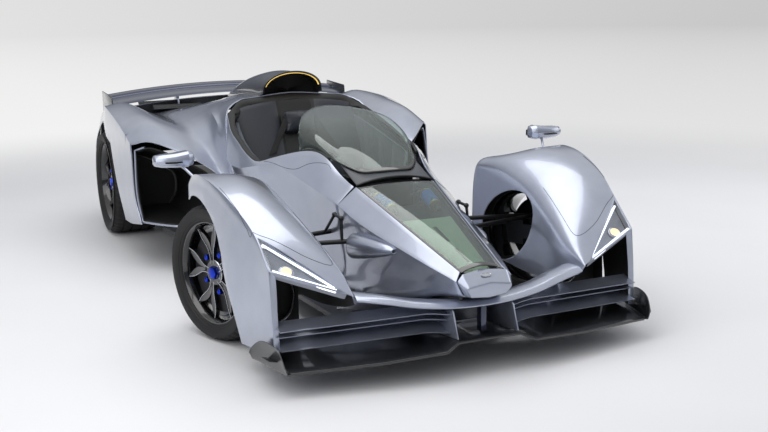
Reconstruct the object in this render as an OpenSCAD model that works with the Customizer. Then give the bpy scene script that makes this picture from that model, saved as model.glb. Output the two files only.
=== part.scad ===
// Open two-seat speedster. Millimetres, +Z up, front toward -Y, the car's left at +X.
// Stations in the tables are y measured from the front axle; place() moves them to the frame.

/* [Chassis] */
// Distance between the front and rear axles
wheelbase = 2752; // [2700:1:2800]
// Front edge of the splitter, ahead of the front axle
front_overhang = 1085; // [1080:1:1100]
// Rear edge of the diffuser, behind the rear axle
rear_overhang = 700; // [690:1:740]
// Top face of the flat floor above the ground
floor_top = 125; // [118:1:130]
// Thickness of the floor pan
floor_t = 25; // [15:1:30]

/* [Wheels] */
// Radius of the front tyres
front_tyre_r = 336; // [325:1:340]
// Width of the front tyres
front_tyre_w = 245; // [225:1:255]
// Distance between the front wheel centres
front_track = 1748; // [1740:1:1756]
// Radius of the rear tyres
rear_tyre_r = 359; // [345:1:365]
// Width of the rear tyres
rear_tyre_w = 335; // [300:1:345]
// Distance between the rear wheel centres
rear_track = 1640; // [1630:1:1650]
// Height of the tyres' side walls, from bead to tread
tyre_wall = 94; // [85:1:105]
// Angle of the front wheels as the car stands, to the car's left
steer_rest = 19; // [0:1:19]

/* [Body] */
// Thickness of the body panels
panel_t = 14; // [10:1:18]
// Height of the cockpit rim
rim_h = 16; // [12:1:22]
// Gap between neighbouring panels
panel_gap = 0.5; // [0.4:0.1:0.8]
// Thickness of the glass
glass_t = 5; // [4:0.5:6]
// Thickness of the tub's walls
tub_t = 34; // [25:1:40]
// Diameter of the wishbone tubes
arm_d = 24; // [18:1:28]
// Diameter of the ball joint pins
pin_d = 18; // [14:1:20]
// Clearance round a pin
pin_gap = 0.3; // [0.2:0.1:0.5]

/* [Mounts] */
// Diameter of the four jacking sockets in the floor
jack_d = 40; // [30:1:50]
// Depth of the jacking sockets
jack_depth = 15; // [10:1:20]

/* [Hidden] */
$fn = 48;

// The tables below are drawn for this wheelbase and this front track, and follow the ones set above
drawn_wheelbase = 2752;
drawn_track = 1748;
drawn_tail = drawn_wheelbase + rear_overhang;
tail_y = wheelbase + rear_overhang;
front_rim_r = front_tyre_r - tyre_wall;
rear_rim_r = rear_tyre_r - tyre_wall;
middle_y = (tail_y - front_overhang) / 2;
front_x = front_track / 2;
rear_x = rear_track / 2;
floor_low = floor_top - floor_t;

// Lines of the body's left half. Each row is [y, x, z], from front to rear.
window_edge = [[-975, 107, 456], [-73, 220, 702]];
nose_crease = [[-1000, 138, 421], [-800, 190, 461], [-600, 230, 498], [-400, 267, 532],
    [-200, 299, 576], [-62, 318, 617]];
nose_side = [[-1000, 122, 385], [-800, 165, 380], [-600, 205, 350], [-300, 255, 320], [-62, 285, 320]];
nose_low = [[-1000, 95, 348], [-800, 135, 310], [-600, 180, 250], [-300, 240, 175], [-62, 270, 140]];
nose_keel = [[-1000, 0.01, 338], [-800, 0.01, 300], [-600, 0.01, 238], [-300, 0.01, 162], [-62, 0.01, 130]];

// Cockpit rim, from the scuttle corner back to the roll hoop
rim_line = [[-60, 228, 703], [0, 234, 717], [100, 245, 753], [200, 262, 806], [300, 284, 834],
    [400, 322, 831], [500, 382, 807], [600, 440, 776], [700, 492, 747], [800, 510, 766],
    [900, 514, 793], [1000, 511, 822], [1150, 504, 860], [1300, 477, 908], [1420, 452, 948]];
side_crease = [[-60, 318, 617], [0, 326, 630], [200, 358, 669], [400, 405, 719], [560, 452, 750],
    [700, 512, 722], [900, 552, 690], [1100, 552, 715], [1280, 500, 770]];
side_low = [[-60, 285, 320], [200, 330, 360], [600, 420, 420], [900, 500, 470], [1150, 530, 575]];
side_foot = [[-60, 270, 140], [200, 320, 128], [600, 400, 128], [1150, 500, 128]];

// Rear clamshell
clam_sill = [[1525, 985, 285], [1900, 990, 232], [2752, 985, 230], [3100, 950, 300], [3380, 880, 360]];
clam_side = [[1610, 1000, 450], [2200, 1005, 470], [2752, 1003, 520], [3100, 975, 560], [3380, 900, 560]];
clam_crease = [[1645, 1000, 760], [1900, 1002, 832], [2200, 1000, 886], [2540, 985, 912],
    [2700, 962, 900], [2860, 935, 862], [3120, 915, 805], [3380, 880, 742]];
clam_crest = [[1490, 905, 792], [1740, 870, 880], [2170, 855, 918], [2540, 850, 932], [2700, 858, 915],
    [2860, 850, 872], [3120, 840, 822], [3380, 815, 760]];
clam_shoulder = [[1285, 735, 722], [1500, 730, 790], [1740, 725, 846], [2170, 720, 872], [2600, 720, 872],
    [2860, 715, 845], [3120, 710, 812], [3380, 700, 762]];
clam_valley = [[1230, 610, 640], [1500, 615, 745], [1760, 605, 810], [2170, 600, 832], [2700, 600, 826],
    [3120, 600, 795], [3380, 590, 755]];
clam_inner = [[1150, 530, 575], [1400, 545, 700], [1700, 535, 830], [2170, 500, 868], [2700, 480, 848],
    [3380, 470, 760]];
clam_flank = [[1280, 500, 770], [1600, 480, 900], [2100, 400, 915], [2700, 340, 872], [3380, 320, 768]];
clam_hoop = [[1420, 452, 948], [1700, 410, 950], [2200, 300, 940], [2700, 240, 888], [3380, 220, 775]];
clam_brow = [[1500, 350, 1010], [1800, 320, 985], [2200, 240, 956], [2700, 190, 896], [3380, 170, 778]];
clam_spine = [[1516, 250, 1022], [1800, 230, 1006], [2200, 190, 970], [2700, 150, 902], [3380, 130, 780]];
clam_centre = [[1545, 0.01, 1040], [1800, 0.01, 1025], [2200, 0.01, 985], [2700, 0.01, 910],
    [3380, 0.01, 782]];

// Front pod, from the outer foot over the top to the inner foot
pod_foot = [[-838, 920, 140], [-600, 960, 130], [-400, 1000, 130], [100, 1010, 200], [190, 1005, 560]];
pod_flank = [[-824, 922, 340], [-600, 965, 370], [-400, 1005, 400], [100, 1015, 480], [190, 1008, 620]];
pod_crease = [[-805, 922, 514], [-649, 930, 640], [-480, 962, 735], [-300, 990, 795], [-120, 1010, 822],
    [40, 1015, 812], [180, 1010, 740]];
pod_top = [[-862, 760, 458], [-700, 775, 600], [-480, 800, 720], [-250, 820, 792], [-40, 825, 812],
    [220, 820, 750]];
pod_shoulder = [[-912, 587, 396], [-760, 605, 500], [-500, 640, 620], [-250, 660, 700], [0, 665, 748],
    [240, 655, 730]];
pod_inner = [[-906, 578, 378], [-740, 560, 420], [-500, 590, 500], [-250, 615, 560], [0, 622, 600],
    [260, 622, 600]];
pod_inner_low = [[-896, 570, 360], [-700, 545, 330], [-450, 575, 320], [0, 612, 330], [268, 618, 330]];
pod_inner_foot = [[-880, 560, 345], [-680, 540, 280], [-450, 570, 248], [0, 608, 240], [272, 614, 240]];

function mix(a, b, t) = a + (b - a) * t;
function station(y) = y < 0 ? y : y < drawn_wheelbase ? y * wheelbase / drawn_wheelbase
    : y - drawn_wheelbase + wheelbase;
// Pieces outboard of the nose keep their place at the front wheels
function wide(x) = x + sign(x) * (front_track - drawn_track) / 2 * max(0, min(1, (abs(x) - 380) / 150));
function moved(p) = [p[1] < 250 ? wide(p[0]) : p[0], station(p[1]), p[2]];
function spot(line, y, i = 0) = i >= len(line) - 2 || y < line[i + 1][0] ? i : spot(line, y, i + 1);
function slope(line, i, c) =
    let(a = max(i - 1, 0), b = min(i + 1, len(line) - 1))
    (line[b][c] - line[a][c]) / (line[b][0] - line[a][0]);
// Column c of a line at station y, smooth between its rows
function along(line, y, c) =
    let(i = spot(line, y), h = line[i + 1][0] - line[i][0], u = (y - line[i][0]) / h)
    (2 * u ^ 3 - 3 * u ^ 2 + 1) * line[i][c] + (u ^ 3 - 2 * u ^ 2 + u) * h * slope(line, i, c)
    + (3 * u ^ 2 - 2 * u ^ 3) * line[i + 1][c] + (u ^ 3 - u ^ 2) * h * slope(line, i + 1, c);
function on_line(line, t, y0 = undef, y1 = undef) =
    let(a = is_undef(y0) ? line[0][0] : y0, b = is_undef(y1) ? line[len(line) - 1][0] : y1,
        y = mix(a, b, t))
    [along(line, y, 1), y, along(line, y, 2)];
// Grid of points whose rows run across the lines, from their fronts to their rears
function loft(lines, rows) = [for (i = [0:rows]) [for (line = lines) on_line(line, i / rows)]];
function flip(grid) = [for (row = grid) [for (p = row) [-p[0], p[1], p[2]]]];
function reversed(list) = [for (i = [len(list) - 1:-1:0]) list[i]];
// A half grid whose last column is on the centre line, joined with its mirror image
function whole(grid) = [for (row = grid) concat(row,
    [for (j = [len(row) - 2:-1:0]) [-row[j][0], row[j][1], row[j][2]]])];
function grid_normal(g, i, j) =
    let(a = g[min(i + 1, len(g) - 1)][j] - g[max(i - 1, 0)][j],
        b = g[i][min(j + 1, len(g[0]) - 1)] - g[i][max(j - 1, 0)], n = cross(a, b))
    n / norm(n);
function inset(g, t) = [for (i = [0:len(g) - 1]) [for (j = [0:len(g[0]) - 1])
    g[i][j] - t * grid_normal(g, i, j)]];
function raised(g, h) = [for (row = g) [for (p = row) p + [0, 0, h]]];
function volume(points, faces) = [for (f = faces) points[f[0]] * cross(points[f[1]], points[f[2]])];
function total(list, i = 0) = i < len(list) ? list[i] + total(list, i + 1) : 0;
function quad(a, b, c, d) = [[a, b, c], [a, c, d]];

// Closed solid between two grids with the same rows and columns
module skin(outer, inner) {
    rows = len(outer);
    cols = len(outer[0]);
    n = rows * cols;
    points = [for (g = [outer, inner]) for (row = g) for (p = row) moved(p)];
    upper = [for (i = [0:rows - 2]) for (j = [0:cols - 2]) for (f = quad(
        i * cols + j, i * cols + j + 1, (i + 1) * cols + j + 1, (i + 1) * cols + j)) f];
    lower = [for (f = upper) [f[0] + n, f[2] + n, f[1] + n]];
    ends = [for (i = [0, rows - 1]) for (j = [0:cols - 2])
        let(a = i * cols + j, q = quad(a, a + n, a + n + 1, a + 1))
        for (f = q) i == 0 ? f : [f[0], f[2], f[1]]];
    sides = [for (j = [0, cols - 1]) for (i = [0:rows - 2])
        let(a = i * cols + j, q = quad(a, a + cols, a + cols + n, a + n))
        for (f = q) j == 0 ? f : [f[0], f[2], f[1]]];
    faces = concat(upper, lower, ends, sides);
    turned = total(volume(points, faces)) > 0;
    polyhedron(points, turned ? [for (f = faces) [f[0], f[2], f[1]]] : faces);
}

module place() { translate([0, -middle_y, 0]) children(); }
module both() { children(); mirror([1, 0, 0]) children(); }
// Prism along X from x0 to x1 of an outline drawn as [y, z]
module across(x0, x1, outline) {
    translate([x0, 0, 0]) rotate([90, 0, 90]) linear_extrude(x1 - x0)
        polygon([for (p = outline) [station(p[0]), p[1]]]);
}
// Round bar between two points
module bar(a, b, d) {
    v = b - a;
    translate(a) rotate([0, acos(v[2] / norm(v)), atan2(v[1], v[0])]) cylinder(h = norm(v), d = d, $fn = 24);
}

// Floor, from the splitter's rear edge to the diffuser
floor_outline = [[-640, 240], [-560, 430], [420, 480], [700, 600], [1500, 640], [2180, 720],
    [2330, 600], [3050, 560]];
jack_x = 520;
module floor_pan() color("#1b1c1e") place() translate([0, 0, floor_low]) linear_extrude(floor_t)
    polygon(concat([for (r = floor_outline) [r[1], station(r[0])]],
        [for (r = reversed(floor_outline)) [-r[1], station(r[0])]]));

// Jacking pads under the floor, each with a socket for the stand's pin
module jack_pads() color("#2b2d30") place() for (s = [-1, 1]) for (y = [700, 2050])
    translate([s * jack_x, station(y), floor_low - jack_depth]) difference() {
        cylinder(h = jack_depth, d = jack_d + 36);
        translate([0, 0, -1]) cylinder(h = jack_depth + 2, d = jack_d);
    }

nose_half = loft([window_edge, nose_crease, nose_side, nose_low, nose_keel], 9);
// Fairings over the wishbones' front joints; columns y, centre x, centre z, half width, half height
fairing_rows = [[-228, 300, 440, 40, 60], [-330, 294, 452, 42, 52], [-450, 276, 466, 34, 36],
    [-530, 252, 474, 22, 22], [-566, 238, 476, 8, 8]];
module fairing(rows, in) loops_solid([for (f = rows) [for (a = [0:22.5:337.5])
    [f[1] + (f[3] - in) * cos(a), f[0], f[2] + (f[4] - in) * sin(a)]]]);
module nose_shell() color("#b9bdc9") place() {
    outer = [for (row = whole(nose_half)) reversed(row)];
    skin(outer, inset(outer, panel_t));
    both() difference() {
        fairing(fairing_rows, 0);
        fairing([for (i = [0:2]) fairing_rows[i] + [i == 0 ? 1 : 0, 0, 0, 0, 0]], 5);
    }
}

cap_top = [[-1059, 0.01, 418], [-976, 0.01, 462]];
cap_edge = [[-1059, 106, 400], [-1001, 107, 452]];
cap_corner = [[-1059, 110, 380], [-1001, 136, 420]];
cap_low = [[-1052, 88, 350], [-1001, 95, 349]];
module nose_cap() color("#c3c7d2") place() {
    top = whole(loft([cap_corner, cap_edge, cap_top], 3));
    low = whole([for (i = [0:3]) [for (p = [[110, 352], [60, 344], [0.01, 341]])
        [p[0] * mix(0.9, 1.1, i / 3), mix(-1050, -1001, i / 3), p[1]]]]);
    skin(top, low);
}

window_rows = loft([window_edge], 8);
module nose_window() color("#9fb8ac", 0.5) place() {
    outer = [for (row = window_rows) let(p = row[0], x = p[0] - 0.72 * panel_t - panel_gap)
        [for (u = [-1:0.25:1]) [u * x, p[1], p[2] - panel_t * 0.3 + 22 * (1 - u * u)]]];
    skin(outer, raised(outer, -glass_t));
}

module damper_bay() color("#3b4247") place() {
    tray = [for (row = loft([window_edge], 4)) let(p = row[0])
        [for (u = [-1, 0, 1]) [u * (p[0] - 34), p[1], p[2] - 52]]];
    skin([for (i = [0:2]) tray[i]], [for (i = [0:2]) raised([tray[i]], -6)[0]]);
}

// Inboard coil-over units in the nose, with their rockers
module coil_unit(a, b) {
    v = b - a;
    translate(a) rotate([0, acos(v[2] / norm(v)), atan2(v[1], v[0])]) {
        cylinder(h = norm(v), d = 22, $fn = 24);
        for (i = [0:5]) translate([0, 0, 40 + i * 17]) rotate_extrude($fn = 24)
            translate([10, 0]) square([18, 8]);
        translate([0, 0, norm(v) - 55]) cylinder(h = 26, d = 52, $fn = 24);
    }
}
module front_dampers() color("#2f7fd0") place() for (s = [-1, 1]) {
    coil_unit([s * 62, -150, 540], [s * 82, -370, 480]);
}

screen_base = [[0, 15, 752], [70, 18, 751], [140, 45, 750], [195, 110, 774], [232, 200, 800],
    [258, 300, 822], [290, 400, 826], [318, 470, 814]];
screen_edge = [[0, 915, 1013], [100, 860, 1007], [195, 745, 990], [250, 650, 966], [285, 580, 935],
    [303, 530, 900], [312, 500, 860], [319, 474, 818]];
screen_half = [for (k = [7:-1:0]) [for (v = [0:0.125:1])
    let(p = mix(screen_base[k], screen_edge[k], v), lift = 34 * sin(180 * v) * (1 - k / 7))
    [max(p[0], 0.01) + 10 * sin(180 * v) * (k / 7), p[1] - lift * 0.3, p[2] + lift]]];
function turned_grid(g) = [for (j = [0:len(g[0]) - 1]) [for (i = [0:len(g) - 1]) g[i][j]]];
module windscreen() color("#9fb8ac", 0.5) place() {
    outer = whole(turned_grid(screen_half));
    skin(outer, inset(outer, glass_t));
}

module scuttle() color("#55575c") place() {
    outer = whole([for (i = [0:4]) let(t = i / 4) [for (k = [4:-1:0])
        let(base = screen_base[k], b = [min(base[0], 212), base[1] - 3, base[2] - 6],
            a = [k * 208 / 4, -68 + 3 * k, mix(738, 706, (k / 4) ^ 2)])
        [max(mix(a[0], b[0], t), 0.01), mix(a[1], b[1], t), mix(a[2], b[2], t)]]]);
    skin(outer, raised(outer, -16));
}

rim_seat = [for (r = rim_line) r - [0, 0, r[0] < 200 ? 0 : rim_h + panel_gap]];
side_rows = 16;
side_lines = [side_foot, side_low, side_crease, rim_seat];
side_half = [for (i = [0:side_rows]) [for (line = side_lines)
    on_line(line, i / side_rows, line[0][0], line[len(line) - 1][0] - 1.6 * panel_t)]];
module side_skins() color("#b4b9c6") place() for (s = [-1, 1]) {
    inner = inset(side_half, panel_t);
    skin(s > 0 ? side_half : flip(side_half), s > 0 ? inner : flip(inner));
}

hoop_line = [[452, 1420, 948], [400, 1461, 979], [350, 1499, 1009], [250, 1515, 1021],
    [125, 1529, 1030], [0.01, 1544, 1038]];
module cockpit_rim() color("#141517") place() {
    seat = rim_h + panel_gap;
    half = concat([for (i = [3:side_rows]) side_half[i][3] + [-2, 0, seat]],
        [for (i = [1:5]) hoop_line[i] + [i < 2 ? -8 : 0, -14, -2]]);
    n = len(half);
    rails = [for (k = [0:n - 1]) let(p = half[k], w = p[1] < 480 ? 12 : p[1] < 1300 ? 26 : 40,
            t = max(0, min(1, (n - 1 - k) / 5)), drop = p[1] < 1410 ? 1 : -30,
            inward = [-w * t, -w * (1 - t), drop])
        [p, p + inward, p + inward + [0, 0, -rim_h], p + [0, 0, -rim_h]]];
    full = concat(rails, [for (k = [n - 2:-1:0]) [for (p = rails[k]) [-p[0], p[1], p[2]]]]);
    skin([for (r = full) [r[0], r[1]]], [for (r = full) [r[3], r[2]]]);
}

tub_rim = [[60, 190, 640], [400, 268, 700], [700, 440, 715], [1000, 455, 770],
    [1300, 420, 850], [1490, 380, 900]];
tub_side = [[60, 250, 380], [400, 330, 400], [700, 400, 420], [1000, 440, 440],
    [1300, 430, 460], [1490, 420, 470]];
tub_foot = [[60, 230, 155], [400, 290, 155], [700, 350, 155], [1000, 380, 155], [1490, 380, 155]];
tub_keel = [[60, 0.01, 155], [700, 0.01, 155], [1490, 0.01, 155]];
module cockpit_tub() color("#2a3038") place() {
    g = [for (row = whole(loft([tub_rim, tub_side, tub_foot, tub_keel], 8))) reversed(row)];
    skin(g, inset(g, tub_t * 0.5));
}

clam_lines = [clam_sill, clam_side, clam_crease, clam_crest, clam_shoulder, clam_valley, clam_inner,
    clam_flank, clam_hoop, clam_brow, clam_spine, clam_centre];
clam_grid = whole(loft([for (line = clam_lines) [for (r = line) r + [panel_gap, 0, 0]]], 14));
rear_arch = concat([[1890, 60], [2060, 300], [2330, 690]],
    [for (a = [125:-12.5:0]) [drawn_wheelbase + 425 * cos(a), rear_tyre_r + 10 + 425 * sin(a)]],
    [[drawn_wheelbase + 440, 200], [drawn_wheelbase + 470, 60]]);
module rear_clam() color("#b4b9c6") place() difference() {
    skin(clam_grid, inset(clam_grid, panel_t));
    across(-1100, 1100, rear_arch);
}

scoop_line = [[1450, 196, 138], [1650, 190, 155], [2000, 160, 144], [2400, 115, 115], [2800, 60, 66]];
scoop_base = [[1450, 0, 1040], [1545, 0, 1020], [1800, 0, 1004], [2200, 0, 965], [2800, 0, 884]];
function hood(t, grow) = let(y = mix(1450, 2800, t), w = along(scoop_line, y, 1) + grow,
    h = along(scoop_line, y, 2) + grow, z = along(scoop_base, y, 2) + 1)
    [for (a = [0:15:180]) [w * cos(a), y + 40 * (1 - t) * (1 - sin(a)), z + h * sin(a) ^ 0.8]];
scoop_t = 12;
module scoop() color("#5c6066") place() difference() {
    skin([for (i = [0:8]) hood(i / 8, 0)], [for (i = [0:8]) hood(i / 8, -scoop_t)]);
    skin(raised(clam_grid, panel_gap), raised(clam_grid, -40));
}
module scoop_lamp() color("#ffb52e") place() {
    skin([for (y = [0, 18]) [for (p = hood(0, -scoop_t - 2.2)) p + [0, y + 6, 0]]],
        [for (y = [0, 18]) [for (p = hood(0, -scoop_t - 6)) p + [0, y + 6, 0]]]);
}

// Side intakes: loops [x, y, z] of the duct's outer wall, from its mouth back to the radiator
duct_mouth = [[962, 1548, 305], [974, 1590, 460], [968, 1640, 716], [890, 1512, 745], [735, 1312, 672],
    [624, 1262, 600], [590, 1215, 520], [600, 1210, 400], [660, 1235, 305], [820, 1370, 302]];
duct_end = [820, 2000, 470];
duct_wall = 4;
function duct_loop(t, in) = let(c = mix([800, 1420, 510], duct_end, t))
    [for (p = duct_mouth) let(d = p - [800, 1420, 510], q = [d[0], d[1] * (1 - t), d[2]] * mix(1, 0.72, t))
        c + q - in * [q[0], 0, q[2]] / norm([q[0], q[2]])];
// Closed solid through loops of the same number of points
module loops_solid(loops) {
    m = len(loops[0]);
    n = len(loops);
    ends = [total_point(loops[0]) / m, total_point(loops[n - 1]) / m];
    points = [for (p = concat([for (l = loops) for (q = l) q], ends)) moved(p)];
    faces = concat([for (i = [0:n - 2]) for (j = [0:m - 1]) let(k = (j + 1) % m)
            for (f = quad(i * m + j, i * m + k, (i + 1) * m + k, (i + 1) * m + j)) [f[2], f[1], f[0]]],
        [for (j = [0:m - 1]) [j, (j + 1) % m, n * m]],
        [for (j = [0:m - 1]) [(n - 1) * m + (j + 1) % m, (n - 1) * m + j, n * m + 1]]);
    turned = total(volume(points, faces)) > 0;
    polyhedron(points, turned ? [for (f = faces) [f[0], f[2], f[1]]] : faces);
}
function total_point(list, i = 0) = i < len(list) ? list[i] + total_point(list, i + 1) : [0, 0, 0];
module intake_ducts() color("#17181a") place() both() difference() {
    loops_solid([for (t = [0, 0.5, 1]) duct_loop(t, 0)]);
    loops_solid([for (t = [-0.02, 0.5, 0.97]) duct_loop(t, duct_wall)]);
}

module tail() color("#2b2d30") place() {
    g = [for (i = [0:3]) [for (x = [-860:215:860]) [x, drawn_tail - 110 + 25 * i - 60 * (x / 860) ^ 2,
        mix(470, 715, i / 3)]]];
    skin(g, [for (row = g) [for (p = row) p + [0, -20, 0]]]);
}
module tail_lamps() color("#c01818") place() for (s = [-1, 1]) {
    g = [for (z = [660, 684]) [for (x = [430:100:830])
        [s * x, drawn_tail - 110 + panel_gap + 75 * (z - 470) / 245 - 60 * (x / 860) ^ 2, z]]];
    skin(g, [for (row = g) [for (p = row) p + [0, 14, 0]]]);
}
module diffuser() color("#1b1c1e") place() {
    g = [for (t = [0:0.25:1]) [for (x = [-560:140:560]) [x, mix(3051, drawn_tail, t), mix(floor_top, 330, t)]]];
    skin(g, raised(g, -16));
}
module exhausts() color("#6f6a64") place() for (s = [-1, 1])
    translate([s * 90, tail_y - 330, 560]) rotate([-90, 0, 0]) difference() {
        cylinder(h = 190, d = 104);
        translate([0, 0, -1]) cylinder(h = 192, d = 92);
    }

function wing_row(x, chord, lift) =
    let(drop = 62 * (x / 880) ^ 2)
    [for (c = [0, 0.08, 0.3, 0.6, 1]) [x, 2850 + chord * c,
        942 - drop + lift * c + 14 * sin(180 * min(1, c ^ 0.6))]];
module rear_wing() color("#44495a") place() {
    main = [for (x = [-877:146.1667:877.1]) wing_row(x, 250, 30)];
    skin(main, raised(main, -9));
    flap = [for (x = [-877:146.1667:877.1]) [for (p = wing_row(x, 110, 24)) p + [0, 235, 30]]];
    skin(flap, raised(flap, -8));
}
// Outlines [y, z] of the wing's side plates and struts, seated on the clamshell
wing_plate = [[2840, 875.4], [2842, 938], [2850, 950], [3210, 962], [3210, 791.4], [3100, 819.6], [3010, 838.6],
    [2950, 851.7], [2900, 862.3], [2860, 870.6]];
wing_strut = [[2860, 843], [2880, 931], [2980, 943], [3010, 821.6], [2950, 831.2], [2900, 838.6]];
module wing_mounts() color("#8b9099") place() both() {
    across(878.3, 886.3, wing_plate);
    across(394, 406, wing_strut);
}

// Front wing, from the centre lip out to the pod; columns x, lip y, lip z, crest z, trough z
wing_span = [[0.01, -1006, 302, 318, 226], [145, -1000, 306, 322, 226], [300, -980, 322, 340, 230],
    [430, -950, 346, 366, 240], [541, -918, 372, 386, 252]];
wing_tip = [570, 566, 549, 534, 534];
wing_half = [for (k = [4:-1:0]) let(r = wing_span[k], x = k < 4 ? [for (t = wing_tip) r[0]] : wing_tip)
    [[x[0], r[1], r[2]], [x[1], r[1] + 40, r[3]], [x[2], r[1] + 130, r[3] - 8],
     [x[3], r[1] + 240, mix(r[3], r[4], 0.6)], [x[4], r[1] + 340, r[4]]]];
module front_wing() color("#aeb4c4") place() {
    g = whole(turned_grid(wing_half));
    skin(g, inset(g, 12));
}

// Vanes on each side; columns y of the leading edge, z, chord
vane_rows = [[-955, 282, 90], [-935, 252, 110], [-965, 200, 120]];
vane_columns = [154.5, 250, 400, 560, 720, 899.8];
module vanes() color("#7d8494") place() for (s = [-1, 1]) for (r = vane_rows) {
    g = [for (x = vane_columns) [for (c = [0, 0.5, 1])
        [s * x, r[0] + (x - 250) * 0.13 + r[2] * c,
            r[1] + 22 * c ^ 1.5 - (x - 250) * (x < 250 ? -0.15 : 0.03)]]];
    skin(g, raised(g, -8));
}

// Outlines [y, z] of the fins under the front wing and of the pylons between it and the nose
fin_outline = [[-1045, 173.3], [-1000, 285], [-985, 296.5], [-960, 308.5], [-900, 302.5], [-840, 284.5],
    [-780, 257], [-720, 233], [-680, 217.5], [-660, 128]];
pylon_outline = [[-960, 321.9], [-900, 316.8], [-868, 315.7], [-850, 311],
    [-850, 316.5], [-900, 327.6], [-960, 339]];
module centre_fins() color("#aab0bf") place() both() {
    across(146, 154, fin_outline);
    across(86, 94, pylon_outline);
}

// Splitter; columns x, front y, top z
splitter_rows = [[0.01, -1060, 176], [156, -1060, 174], [221, -1085, 146], [500, -1045, 128],
    [800, -985, 118], [900, -960, 112]];
// Winglets at the splitter's ends; columns foot x, y, foot z, height
winglet_rows = [[906, -972, 103, 36], [916, -930, 103, 96], [932, -860, 104, 112],
    [950, -780, 105, 104], [966, -715, 105, 62], [972, -690, 105, 30]];
module splitter() color("#141517") place() {
    g = whole([for (t = [0, 0.3, 1]) [for (k = [5:-1:0]) let(r = splitter_rows[k])
        [r[0], mix(r[1], -642, t), mix(r[2], floor_top, t)]]]);
    skin(g, raised(g, -14));
    both() {
        across(wide(900.4), wide(905.4), [[-965, 98], [-950, 150], [-700, 118], [-640, 100]]);
        winglet = [for (r = winglet_rows) [[903, r[1], r[2]], [r[0] + 4, r[1], r[2]],
            [r[0] + 8, r[1], r[2] + 0.35 * r[3]], [r[0] + 18, r[1], r[2] + r[3]]]];
        skin(winglet, inset(winglet, 6));
        flap = [for (row = [[930, -905], [944, -835]]) [for (x = [0, 34]) [row[0] + x, row[1], 150 + 0.2 * x]]];
        skin(flap, raised(flap, -6));
    }
}

front_arch = concat([[-560, 60], [-470, 290]],
    [for (a = [160:-14:20]) [392 * cos(a), front_tyre_r + 376 * sin(a)]], [[420, 300], [420, 60]]);
inner_eye = [for (a = [0:20:340]) [-130 + 285 * cos(a), 435 + 185 * sin(a) - 70 * cos(a)]];
pod_lines = [pod_foot, pod_flank, pod_crease, pod_top, pod_shoulder, pod_inner, pod_inner_low,
    pod_inner_foot];
pod_grid = loft(pod_lines, 12);
// Triangular lamp in the pod's front, from up above its face to down below it
lamp_corners = [[926, -652, 636], [916, -806, 512], [604, -908, 399]];
module lamp_block(grow, up, down) {
    c = (lamp_corners[0] + lamp_corners[1] + lamp_corners[2]) / 3;
    v = cross(lamp_corners[2] - lamp_corners[0], lamp_corners[1] - lamp_corners[0]);
    n = v / norm(v);
    polyhedron([for (h = [up, -down]) for (p = lamp_corners) moved(c + (p - c) * grow + h * n)],
        [[0, 1, 2], [5, 4, 3], [0, 3, 1], [1, 3, 4], [1, 4, 2], [2, 4, 5], [2, 5, 0], [0, 5, 3]]);
}
module front_pods() color("#bcc0cc") place() both() difference() {
    skin(pod_grid, inset(pod_grid, panel_t));
    across(front_x + 6, front_x + 226, front_arch);
    across(front_x - 374, front_x - 154, inner_eye);
    lamp_block(0.96, 60, 60);
    mirror_stalk(18 + 2 * pin_gap);
}

module headlights() color("#e8ecf4") place() both() lamp_block(0.956, 2, 26);

// Mirror housings on stalks that stand in the pods
mirror_spot = [1060, 212, 861];
module mirror_stalk(d) bar(moved([978, 95, 760]), moved(mirror_spot) + [-30, 0, -25], d);
module mirrors() color("#b9bdc9") place() both() {
    translate(moved(mirror_spot)) hull() {
        translate([-72, -8, 4]) sphere(30, $fn = 16);
        translate([78, 4, 0]) sphere(26, $fn = 16);
        translate([76, 44, 0]) cube([44, 8, 64], center = true);
        translate([-68, 40, 4]) cube([50, 8, 78], center = true);
    }
    mirror_stalk(18);
}

module ball_eye(p) {
    translate(p) difference() {
        cylinder(h = 26, r = pin_d / 2 + 12, center = true, $fn = 32);
        cylinder(h = 28, r = pin_d / 2 + pin_gap, center = true, $fn = 32);
    }
}
upper_z = front_tyre_r + 105;
lower_z = front_tyre_r - 125;
module wishbone(z, drop, spread) {
    ball_eye([front_x, 0, z]);
    for (s = [-1, 1]) bar([front_x - 20, s * 8, z], [s > 0 ? 318 : 302, s * spread - 80, z - drop], arm_d);
}
module front_arms() color("#232528") place() both() {
    wishbone(upper_z, -20, 130);
    wishbone(lower_z, 0, 150);
    link = [[350, -196, upper_z + 18], [346, -180, upper_z + 132], [346, -92, upper_z + 136],
        [350, 46, upper_z + 18]];
    for (i = [0:2]) bar(link[i], link[i + 1], 15);
    for (i = [1, 2]) translate(link[i]) sphere(d = 26, $fn = 20);
}

module rear_arms() color("#232528") place() both() {
    for (z = [rear_tyre_r - 120, rear_tyre_r + 110]) for (d = [-170, 170])
        bar([rear_x - 150, wheelbase, z], [300, wheelbase + d, z], arm_d + 4);
    bar([rear_x - 150, wheelbase, rear_tyre_r - 140], [rear_x - 150, wheelbase, rear_tyre_r + 130], 60);
    bar([rear_x - 150, wheelbase, rear_tyre_r], [rear_x + disc_in - pin_gap, wheelbase, rear_tyre_r], 90);
    translate([rear_x, wheelbase, rear_tyre_r]) calliper(rear_rim_r);
}

seat_low = 172.5;
module seats() color("#22262d") place() for (y = [540, 1010]) {
    translate([-170, station(y), seat_low]) cube([340, 380, 90]);
    translate([-180, station(y) + 330, seat_low + 23]) rotate([-18, 0, 0]) cube([360, 70, 520]);
}

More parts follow.
